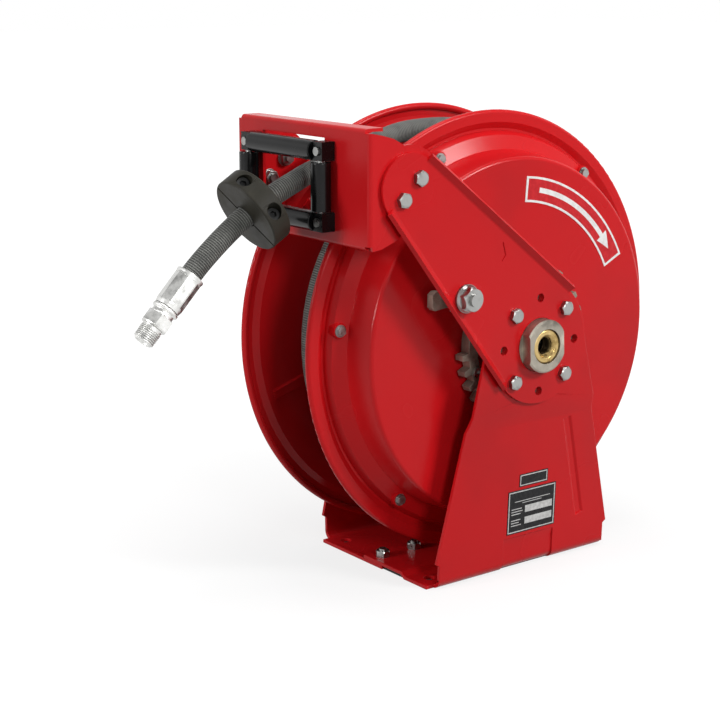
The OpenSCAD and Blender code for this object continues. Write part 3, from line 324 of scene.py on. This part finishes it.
def joined_faces():
    """Joins a solid's faces again, and keeps only its true edges sharp."""
    same_point = 0.000002
    true_edge = math.radians(28)
    net = bpy.data.node_groups.new("joined_faces", "GeometryNodeTree")
    for way in ("INPUT", "OUTPUT"):
        net.interface.new_socket("Geometry", in_out=way, socket_type="NodeSocketGeometry")
    angle = add(net, "GeometryNodeInputMeshEdgeAngle").outputs[0]
    chain = [add(net, "NodeGroupInput"),
             add(net, "GeometryNodeRemoveAttribute", Name="custom_normal"),
             add(net, "GeometryNodeMergeByDistance", Distance=same_point),
             add(net, "GeometryNodeSetShadeSmooth"),
             add(net, "GeometryNodeSetShadeSmooth", domain="EDGE",
                 Shade_Smooth=maths(net, "LESS_THAN", angle, true_edge)),
             add(net, "NodeGroupOutput")]
    for one, two in zip(chain, chain[1:]):
        net.links.new(one.outputs[0], two.inputs[0])
    return net


faces_again = joined_faces()


def finish(material, *nodes, edge=0.0, angle=30):
    """Gives solids their finish, and an eased edge of that width."""
    for node in nodes:
        piece = part[node]
        piece.data.materials.clear()
        piece.data.materials.append(material)
        if not edge:
            continue
        piece.modifiers.new("faces_again", "NODES").node_group = faces_again
        ease = piece.modifiers.new("eased_edge", "BEVEL")
        ease.width = edge
        ease.segments = 2
        ease.limit_method = "ANGLE"
        ease.angle_limit = math.radians(angle)
        ease.use_clamp_overlap = True
        even = piece.modifiers.new("even_shading", "WEIGHTED_NORMAL")
        even.keep_sharp = True
        even.weight = 95


stop_plastic = moulded("stop_plastic", (0.022, 0.020, 0.014), 0.5, grain_scale=700, grain=0.25,
                       specular=0.2)
finish(stop_plastic, "stop_half_upper", "stop_half_lower", edge=0.0009)
finish(zinc_plate("black_screw", (0.05, 0.05, 0.05), 0.35), "stop_screws", edge=0.0003)

# The end of the hose: a crimped steel ferrule with the marks of eight jaws, and a
# male end with a collar, a hexagon and a tapered half-inch pipe thread, both
# plated with zinc.
ferrule_zinc = zinc_plate("ferrule_zinc", (0.72, 0.72, 0.70), 0.34)
finish(ferrule_zinc, "ferrule", edge=0.0005, angle=20)
end_slope = math.radians(46.5)
end_along = Vector((-math.cos(end_slope), 0, -math.sin(end_slope)))
end_side = Vector((0, 1, 0))
end_over = end_along.cross(end_side)
end_start = Vector((-0.334, -0.017, 0.322))
collar_at, hexagon_at, thread_at, tip_at = 0.036, 0.044, 0.057, 0.073
half_flats = 0.0120
# stations along the end, each with the outer radius there
bore_mouth = [(collar_at - 0.005, 0.0060), (collar_at - 0.004, 0.0078), (collar_at, 0.0079)]
collar = [(collar_at, 0.0108), (collar_at + 0.0006, 0.0117), (collar_at + 0.0014, 0.0126),
          (collar_at + 0.003, 0.0126), (collar_at + 0.0036, 0.0121),
          (collar_at + 0.0043, 0.0106), (collar_at + 0.005, 0.0104),
          (hexagon_at - 0.0002, 0.0104), (hexagon_at, 0.0106)]
hexagon = [(hexagon_at + 0.0002, 0.0116), (hexagon_at + 0.0012, 0.01385),
           (thread_at - 0.0014, 0.01385), (thread_at - 0.0002, 0.0116)]
thread_core = [(thread_at, 0.0106), (thread_at + 0.0002, 0.0098), (thread_at + 0.0012, 0.0096),
               (tip_at - 0.0016, 0.0091), (tip_at - 0.0002, 0.0082), (tip_at, 0.0078),
               (tip_at, 0.0064), (tip_at - 0.0006, 0.0060)]


def fitting_body(name, sides=96):
    """Collar, hexagon and thread core as one closed turned mesh, bored through."""
    def ring(along, radius, six_sided):
        out = []
        for k in range(sides):
            a = 2 * math.pi * k / sides
            r = radius
            if six_sided:
                folded = (a + math.pi / 6) % (math.pi / 3) - math.pi / 6
                r = min(radius, half_flats / math.cos(folded))
            out.append(end_start + end_along * along
                       + r * (math.cos(a) * end_side + math.sin(a) * end_over))
        return out

    profile = bore_mouth + collar + hexagon + thread_core
    first_flat = len(bore_mouth) + len(collar) - 1
    last_flat = first_flat + len(hexagon) + 1
    mesh = bmesh.new()
    rows = [[mesh.verts.new(p) for p in ring(*station, station in hexagon)]
            for station in profile]
    rows.append(rows[0])
    for i, (a, b) in enumerate(zip(rows, rows[1:])):
        for k in range(sides):
            face = mesh.faces.new((a[k], a[(k + 1) % sides], b[(k + 1) % sides], b[k]))
            face.smooth = not first_flat <= i <= last_flat
    bmesh.ops.recalc_face_normals(mesh, faces=mesh.faces)
    return new_piece(name, mesh, ferrule_zinc)


male_end = fitting_body("male_end")
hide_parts("end_fitting")


def thread_ridge(name, centre, axis, start, length, radius_at, pitch, height, material,
                 steps=40):
    """Winding ridge of a pipe thread, sunk 0.1 mm into the wall that carries it."""
    axis = Vector(axis).normalized()
    side = axis.orthogonal().normalized()
    over = axis.cross(side)
    n = int(length / pitch * steps)
    sunk = -0.0001 if height > 0 else 0.0001
    mesh = bmesh.new()
    rows = []
    for i in range(n + 1):
        a = 2 * math.pi * i / steps
        along = start + length * i / n
        out = side * math.cos(a) + over * math.sin(a)
        fade = min(1.0, 4 * min(i, n - i) / steps + 0.05)
        row = []
        for step, rise in ((-0.42, sunk), (-0.08, height * fade),
                           (0.08, height * fade), (0.42, sunk)):
            place = along + step * pitch
            row.append(mesh.verts.new(Vector(centre) + axis * place
                                      + out * (radius_at(place) + rise)))
        rows.append(row)
    for a, b in zip(rows, rows[1:]):
        for k in range(4):
            face = mesh.faces.new((a[k], b[k], b[(k + 1) % 4], a[(k + 1) % 4]))
            face.smooth = k != 1
    mesh.faces.new(rows[0])
    mesh.faces.new(rows[-1][::-1])
    bmesh.ops.recalc_face_normals(mesh, faces=mesh.faces)
    return new_piece(name, mesh, material)


def tapered_core(along):
    return 0.0097 - (along - 0.0585) * 0.031


male_thread = thread_ridge("male_thread", end_start, end_along, start=0.0590, length=0.0128,
                           radius_at=tapered_core, pitch=0.00181, height=0.00085,
                           material=ferrule_zinc)
for piece in (male_end, male_thread):
    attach(piece, "frame")

# The two feet: 3.5 mm steel sheet, each folded into a floor plate and a leaning
# upright with a pressed groove. Nothing is welded: the studs and the hubs hold
# them. All the red sheet metal is sprayed with gloss enamel after forming.


def blended(net, share, first, second):
    """Colour between the first and the second."""
    return add(net, "ShaderNodeMix", data_type="RGBA", Factor=share, A=first,
               B=second).outputs["Result"]


def red_enamel(name="red_enamel", tone=(0.560, 0.008, 0.011), gloss=0.24):
    """Sprayed gloss enamel, with orange peel and grains of dust under it."""
    grain_size, grain_shows = 0.045, 0.35
    material, net, shader = surface(name, gloss, Specular_IOR_Level=0.15)
    place = object_place(net)
    broad = noise(net, place, scale=7.0, detail=3.0)
    colour = ramp(net, broad, [(0.30, shade(tone, 0.88)), (0.52, tone),
                               (0.75, shade(tone, (1.05, 1.35, 1.3)))])
    speck = add(net, "ShaderNodeTexVoronoi", Vector=place, Scale=420.0).outputs["Distance"]
    grain = ramp(net, speck, [(0.0, (1, 1, 1)), (grain_size, (0, 0, 0))])
    dust = (*shade(tone, (0.55, 0.5, 0.5)), 1)
    dress(net, shader,
          Base_Color=blended(net, maths(net, "MULTIPLY", grain, grain_shows), colour, dust),
          Roughness=spread(net, broad, gloss - 0.05, gloss + 0.08, start=0.35))
    bump(net, shader, noise(net, place, scale=330.0, detail=2.0), 0.10, 0.0004)
    bump(net, shader, noise(net, place, scale=38.0, detail=1.0), 0.05, 0.003)
    return material


enamel = red_enamel()
finish(enamel, "foot_near", "foot_far", edge=0.0006)

# Four carriage studs come up through both floor plates where they lap, with
# hexagon nuts on top. Bright zinc plated steel, as are all the bolts.
bright_zinc = zinc_plate("bright_zinc", (0.33, 0.33, 0.32), 0.30)
finish(bright_zinc, "floor_studs", "floor_nuts", edge=0.0003)

# The two guide arms: 4 mm steel sheet with bent edges. They are bolted over the
# hubs, and can be turned to lead the hose out another way.
finish(enamel, "arm_near", "arm_far", edge=0.0007, angle=25)

# The inlet hub and the end hub carry the fixed shaft: cast steel, turned on the
# nose, phosphated grey-brown, with two flats for a spanner.


def cast_metal(name, tone, roughness, grit, metallic=0.75):
    """Sand-cast metal: lumpy, pitted and stained."""
    material, net, shader = surface(name, roughness, metallic)
    place = object_place(net)
    lumps = noise(net, place, scale=260.0, detail=6.0, roughness=0.62)
    stain = noise(net, place, scale=55.0, detail=5.0, roughness=0.55)
    pits = add(net, "ShaderNodeTexVoronoi", Vector=place, Scale=520.0).outputs["Distance"]
    dress(net, shader,
          Base_Color=ramp(net, stain, [(0.28, shade(tone, 0.45)), (0.5, tone),
                                       (0.74, shade(tone, 1.55))]),
          Roughness=spread(net, lumps, roughness - 0.1, roughness + 0.15))
    bump(net, shader, maths(net, "MULTIPLY_ADD", pits, 0.4, lumps), grit, 0.0006)
    return material


phosphated = cast_metal("phosphated_steel", (0.33, 0.30, 0.25), 0.42, grit=0.22, metallic=0.85)
finish(phosphated, "inlet_hub", "end_hub", edge=0.0007)

# Hexagon bolts of plated steel, four through each arm and upright into its hub.
# Each has a thin washer face under the head and a chamfered crown.
finish(bright_zinc, "hub_bolts_near", "hub_bolts_far", edge=0.0004)

# The swivel inlet: a turned brass bush with a half-inch pipe thread, pressed
# into the hub's nose. The thread is a ridge that winds into the bore.


def turned_brass(name="turned_brass", open_end=None):
    """Brass with fine lathe lines. From an open end in, it grows dark: painted shade deeper in
    the bore.
    """
    lathe_pitch = 0.0004
    bore_shade_from, bore_shade_full = 0.0012, 0.007
    bore_shade = (0.022, 0.015, 0.008, 1)
    material, net, shader = surface(name, 0.28, metallic=1.0)
    place = object_place(net)
    y = axes(net, place)[1]
    tarnish = noise(net, place, scale=80.0, detail=5.0, roughness=0.6)
    colour = ramp(net, tarnish, [(0.3, (0.26, 0.17, 0.06)), (0.55, (0.50, 0.36, 0.15)),
                                 (0.8, (0.62, 0.48, 0.25))])
    # Painted shade: the colour darkens with depth from the open end into the bore.
    if open_end is not None:
        depth = spread(net, y, 0.0, 1.0, start=open_end + bore_shade_from,
                       end=open_end + bore_shade_full)
        colour = blended(net, depth, colour, bore_shade)
    dress(net, shader, Base_Color=colour, Roughness=spread(net, tarnish, 0.2, 0.42))
    lathe = maths(net, "SINE", maths(net, "MULTIPLY", y, 2 * math.pi / lathe_pitch))
    bump(net, shader, lathe, 0.15, 0.00008)
    return material


inlet_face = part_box("inlet_fitting")[0].y
inlet_bore = 0.0091
inlet_brass = turned_brass("inlet_brass", inlet_face)
finish(inlet_brass, "inlet_fitting", edge=0.0004)
inlet_thread = thread_ridge("inlet_thread", (0, inlet_face, axis_height), (0, 1, 0),
                            start=0.0030, length=0.0100, radius_at=lambda along: inlet_bore,
                            pitch=0.0018, height=-0.0007, material=inlet_brass)
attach(inlet_thread, "frame")

# The fixed steel shaft with its water way, its two rubber seals, and the iron
# arbor that holds the inner end of the mainspring. They are inside the spool.
turned_steel = zinc_plate("turned_steel", (0.50, 0.50, 0.49), 0.30, brushed=0.1)
arbor_iron = cast_metal("arbor_iron", (0.20, 0.18, 0.16), 0.5, grit=0.3)
seal_rubber = moulded("seal_rubber", (0.02, 0.02, 0.02), 0.5, grain_scale=800, grain=0.1)
finish(turned_steel, "shaft", edge=0.0003)
finish(arbor_iron, "spring_arbor", edge=0.0006)
finish(seal_rubber, "shaft_seals")

# The roller bracket: 3 mm sheet folded into a channel, with a window for the
# hose. Two bolts with nuts hold it at the head of each guide arm.
finish(enamel, "fairlead_bracket", edge=0.0006)
finish(bright_zinc, "head_bolts_near", "head_bolts_far", "head_nuts_near", "head_nuts_far",
       edge=0.0004)

# Four rollers make a square eye that the hose runs through. Glossy black nylon
# on steel pins, held by four corner blocks with a machine screw each.
roller_nylon = moulded("roller_nylon", (0.003, 0.003, 0.0035), 0.20, grain_scale=500,
                       grain=0.05, specular=0.24)
block_nylon = moulded("block_nylon", (0.004, 0.004, 0.0045), 0.26, grain_scale=420,
                      grain=0.08, specular=0.24)
finish(roller_nylon, "roller_upper", "roller_lower", "roller_near", "roller_far")
finish(block_nylon, "corner_blocks", edge=0.0008)
finish(bright_zinc, "roller_pins", edge=0.0003)
finish(bright_zinc, "block_screws", edge=0.0005)

# The pawl, of cast iron, locks the spool by its ratchet. It swings on a
# shouldered bolt that goes through the near arm, and a torsion spring of round
# wire presses it down.
cast_iron = cast_metal("cast_iron", (0.25, 0.215, 0.175), 0.55, grit=0.5, metallic=0.6)
finish(cast_iron, "pawl", edge=0.0008)
finish(bright_zinc, "pawl_bolt", edge=0.0005)
pawl_pin_x, pawl_pin_z = -0.094288, 0.287654
coil_radius = 0.01105
coil_wire = 0.002
coil_turns = 5.0
coil_steps = 28
coil_pitch = coil_wire * 1.08
coil_start_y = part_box("pawl_spring")[0].y + 0.001
front_leg, back_leg = -0.013, 0.009


def torsion_spring():
    """Wire path round the bolt, with a straight leg at each end of the coil."""
    path = []
    steps = int(coil_turns * coil_steps)
    for i in range(steps + 1):
        a = -math.pi / 2 + 2 * math.pi * coil_turns * i / steps
        path.append(Vector((pawl_pin_x + coil_radius * math.cos(a),
                            coil_start_y + coil_turns * coil_pitch * i / steps,
                            pawl_pin_z + coil_radius * math.sin(a))))
    leg_z = pawl_pin_z - coil_radius
    return ([Vector((pawl_pin_x + front_leg, path[0].y, leg_z))] + path
            + [Vector((pawl_pin_x + back_leg, path[-1].y, leg_z))])


spring_wire = zinc_plate("spring_wire", (0.32, 0.31, 0.30), 0.32)
pawl_wire = tube("pawl_torsion_spring", torsion_spring(), coil_wire / 2, 10, spring_wire)
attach(pawl_wire, "frame")
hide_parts("pawl_spring")

# The spool: two pressed discs with a rolled edge, the drum barrel between them,
# and the spring case that closes the inlet side. All are sprayed steel, held
# together by the case's screws.
finish(enamel, "disc_near", "disc_far", "drum_barrel", "spring_case")
finish(bright_zinc, "case_screws", "ratchet_screws", edge=0.0003)

# The mainspring winds the hose back in: blued spring steel strip, coiled inside
# the case. The brass bearings and swivel sleeve run on the fixed shaft.
finish(zinc_plate("blued_strip", (0.16, 0.17, 0.22), 0.3), "mainspring")
finish(turned_brass(), "bearing_near", "bearing_far", "swivel_sleeve", "outlet_elbow",
       edge=0.0003)

# The ratchet ring: cast iron with blunt teeth round it, fixed by screws to the
# face of the spring case.
finish(cast_iron, "ratchet_ring", edge=0.0007)

# The wound hose: four layers of the same rubber hose on the drum, with 5, 5, 4
# and 3 turns. Each turn lies level round the drum and steps across to the next
# one at the back.
barrel_near_y, barrel_far_y = -0.0275, 0.0765
turn_width = (barrel_far_y - barrel_near_y) / 5
first_layer_radius = 0.1155 - 0.0004
layer_height = 0.020
wound_radius = 0.0098
turn_steps = 84
starts_at = -70
steps_over_from = 0.80
slack_wide, slack_fine = 0.0005, 0.0004
columns_by_layer = ([0, 1, 2, 3, 4], [4, 3, 2, 1, 0], [0, 1, 2, 3], [2, 1, 0])
turn_places = [(first_layer_radius + layer_height * layer,
                barrel_near_y + turn_width * (column + 0.5))
               for layer, columns in enumerate(columns_by_layer) for column in columns]
winding = []
for i, (radius, y) in enumerate(turn_places):
    radius_next, y_next = turn_places[min(i + 1, len(turn_places) - 1)]
    for k in range(turn_steps):
        t = k / turn_steps
        over = eased((t - steps_over_from) / (1 - steps_over_from))
        slack = (slack_wide * math.sin(2 * math.pi * (3 * t + 0.37 * i))
                 + slack_fine * math.sin(2 * math.pi * (5 * t + 0.71 * i)))
        a = math.radians(starts_at) - 2 * math.pi * t
        r = radius + (radius_next - radius) * over - abs(slack) * 0.4
        winding.append(Vector((r * math.cos(a), y + (y_next - y) * over + slack * 0.6,
                               axis_height + r * math.sin(a))))
wound_turns = tube("wound_turns", winding, wound_radius, 18, hose_rubber)
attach(wound_turns, "spool")
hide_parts("wound_hose")

# The curved band on the spring case: printed plastic film, white round its edge
# and red inside, with an arrow for the way the spool winds.
band_field, band_sweep = (0.1362, 0.1568), (27.0, 85.0)
shank_width, shank_sweep = (0.1440, 0.1490), (38.0, 79.0)
arrow_radius = 0.1465
head_tip, head_end = 31.5, 38.5
head_flare = 0.0011


def within(net, value, low, high):
    """1 where the value is between the two, and 0 elsewhere."""
    return maths(net, "MULTIPLY", maths(net, "GREATER_THAN", value, low),
                 maths(net, "LESS_THAN", value, high))


def band_film():
    material, net, shader = surface("band_film", 0.32, Specular_IOR_Level=0.2)
    place = object_place(net)
    x, _, height = axes(net, place)
    z = maths(net, "SUBTRACT", height, axis_height)
    radius = maths(net, "SQRT", maths(net, "ADD", maths(net, "MULTIPLY", x, x),
                                      maths(net, "MULTIPLY", z, z)))
    angle = maths(net, "MULTIPLY", maths(net, "ARCTAN2", z, x), 180 / math.pi)
    field = maths(net, "MULTIPLY", within(net, radius, *band_field),
                  within(net, angle, *band_sweep))
    shank = maths(net, "MULTIPLY", within(net, radius, *shank_width),
                  within(net, angle, *shank_sweep))
    off_line = maths(net, "ABSOLUTE", maths(net, "SUBTRACT", radius, arrow_radius))
    head_room = maths(net, "MULTIPLY", maths(net, "SUBTRACT", angle, head_tip), head_flare)
    head = maths(net, "MULTIPLY", maths(net, "LESS_THAN", off_line, head_room),
                 within(net, angle, head_tip, head_end))
    arrow = maths(net, "MAXIMUM", shank, head)
    red = maths(net, "MULTIPLY", field, maths(net, "SUBTRACT", 1.0, arrow))
    fine = noise(net, place, scale=240.0, detail=3.0)
    white = ramp(net, fine, [(0.3, (0.74, 0.73, 0.72)), (0.7, (0.86, 0.86, 0.85))])
    ink = ramp(net, fine, [(0.3, (0.50, 0.012, 0.018)), (0.7, (0.60, 0.020, 0.026))])
    dress(net, shader, Base_Color=blended(net, red, white, ink))
    bump(net, shader, fine, 0.08, 0.0002)
    return material


finish(band_film(), "case_label")

# Two small plates on the near upright: black printed film with a thin pale
# border. The larger one has ruled lines and two pale fields, all of them blank.


def plate_film(name, node, fields, border):
    """Each field is a pale box, in shares of the plate's width and height."""
    low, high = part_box(node)
    wide, tall = high.x - low.x, high.z - low.z
    material, net, shader = surface(name, 0.34, Specular_IOR_Level=0.15)
    place = object_place(net)
    x, _, z = axes(net, place)
    u = maths(net, "DIVIDE", maths(net, "SUBTRACT", x, low.x), wide)
    v = maths(net, "DIVIDE", maths(net, "SUBTRACT", z, low.z), tall)

    def box_mask(u0, v0, u1, v1):
        return maths(net, "MULTIPLY", within(net, u, u0, u1), within(net, v, v0, v1))

    def inset(lines):
        bu, bv = lines * border / wide, lines * border / tall
        return box_mask(bu, bv, 1 - bu, 1 - bv)

    pale = maths(net, "SUBTRACT", inset(1), inset(2))
    for field in fields:
        pale = maths(net, "MAXIMUM", pale, box_mask(*field))
    fine = noise(net, place, scale=300.0, detail=3.0)
    black = ramp(net, fine, [(0.3, (0.010, 0.010, 0.011)), (0.7, (0.022, 0.022, 0.023))])
    silver = ramp(net, fine, [(0.3, (0.50, 0.50, 0.49)), (0.7, (0.66, 0.66, 0.65))])
    dress(net, shader, Base_Color=blended(net, pale, black, silver))
    bump(net, shader, fine, 0.06, 0.0002)
    return material


blank_fields = [(0.36, 0.45, 0.93, 0.61), (0.36, 0.18, 0.93, 0.34)]
heading_rules = [(0.14, 0.73, 0.88, 0.745), (0.30, 0.68, 0.70, 0.695)]
side_rules = [(0.08, 0.56, 0.29, 0.58), (0.08, 0.50, 0.31, 0.52), (0.08, 0.44, 0.27, 0.46),
              (0.08, 0.30, 0.27, 0.32), (0.08, 0.24, 0.24, 0.26), (0.08, 0.18, 0.29, 0.20)]
finish(plate_film("rating_film", "rating_plate", blank_fields + heading_rules + side_rules,
                  border=0.0011), "rating_plate")
finish(plate_film("notice_film", "notice_plate", [], border=0.0010), "notice_plate")

# The room: a plain pale floor that keeps a soft shadow, and soft studio lamps,
# the main one high on the inlet side. Far from the reel the floor ends in plain
# white, and under the feet it carries a painted shadow: its glow is cut off there.
floor_reach = 14
floor_gap = 0.0003
glow_near, glow_far = (0.20, 0.78), (0.9, 1.02)
foot_edge_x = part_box("foot_near")[1].x - 0.003
foot_edge_y = 0.084
corners = [(-floor_reach, -floor_reach, 0), (floor_reach, -floor_reach, 0),
           (floor_reach, floor_reach, 0), (-floor_reach, floor_reach, 0)]
floor_data = bpy.data.meshes.new("floor")
floor_data.from_pydata(corners, [], [(0, 1, 2, 3)])
floor = bpy.data.objects.new("floor", floor_data)
bpy.context.scene.collection.objects.link(floor)
floor.location.z = cad_box[0].z - floor_gap


def backdrop_rays(net):
    """1 for the rays that show the backdrop: the camera's, and those off metal or glass."""
    rays = add(net, "ShaderNodeLightPath").outputs
    seen = maths(net, "MAXIMUM", rays["Is Camera Ray"], rays["Is Transmission Ray"])
    return maths(net, "MAXIMUM", seen, rays["Is Glossy Ray"])


def floor_paint():
    material, net, shader = surface("floor_paint", 0.95, Specular_IOR_Level=0.0,
                                    Base_Color=(0.20, 0.20, 0.20, 1),
                                    Emission_Color=(1, 1, 1, 1))
    place = object_place(net)
    away = add(net, "ShaderNodeVectorMath", operation="LENGTH")
    net.links.new(place, away.inputs[0])
    glow = spread(net, away.outputs["Value"], glow_near[1], glow_far[1],
                  start=glow_near[0], end=glow_far[0])
    x, y, _ = axes(net, place)
    # Painted shadow: under the feet the floor's glow is cut off, so it shows dark through the
    # holes and round the edges.
    in_x = maths(net, "LESS_THAN", maths(net, "ABSOLUTE", x), foot_edge_x)
    in_y = maths(net, "LESS_THAN", maths(net, "ABSOLUTE", y), foot_edge_y)
    outside_foot_shadow = maths(net, "SUBTRACT", 1.0, maths(net, "MULTIPLY", in_x, in_y))
    shown = maths(net, "MULTIPLY", glow, backdrop_rays(net))
    dress(net, shader, Emission_Strength=maths(net, "MULTIPLY", shown, outside_foot_shadow))
    return material


floor_data.materials.append(floor_paint())


def greys(net, height, stops):
    return ramp(net, height, [(place, (level, level, level)) for place, level in stops])


world = bpy.data.worlds.new("studio")
bpy.context.scene.world = world
world.use_nodes = True
air = world.node_tree
up = axes(air, add(air, "ShaderNodeTexCoord").outputs["Generated"])[2]
sky = greys(air, up, [(0.0, 0.05), (0.20, 0.08), (0.70, 0.36), (1.0, 0.60)])
backdrop = greys(air, up, [(0.0, 1.0), (0.40, 1.0), (0.62, 0.45), (1.0, 0.55)])
dress(air, air.nodes["Background"], Color=blended(air, backdrop_rays(air), sky, backdrop))


def lamp(name, place, aim_height, size, power):
    """Soft rectangular lamp that points at the reel's middle at that height."""
    data = bpy.data.lights.new(name, "AREA")
    data.shape = "RECTANGLE"
    data.size, data.size_y = size
    data.energy = power
    light = bpy.data.objects.new(name, data)
    light.location = place
    ahead = Vector((0.0, 0.0, aim_height)) - Vector(place)
    light.rotation_euler = ahead.to_track_quat("-Z", "Y").to_euler()
    bpy.context.scene.collection.objects.link(light)


lamp("key_lamp", (1.2, -2.2, 1.8), aim_height=0.22, size=(0.7, 0.6), power=50)
lamp("top_lamp", (0.2, -0.2, 2.4), aim_height=0.2, size=(1.0, 0.8), power=18)
lamp("front_lamp", (-0.75, -2.3, 1.1), aim_height=0.25, size=(0.5, 0.5), power=17)
lamp("side_lamp", (-2.4, 0.35, 0.8), aim_height=0.30, size=(0.5, 0.5), power=21)

bpy.context.scene.view_settings.view_transform = "Standard"
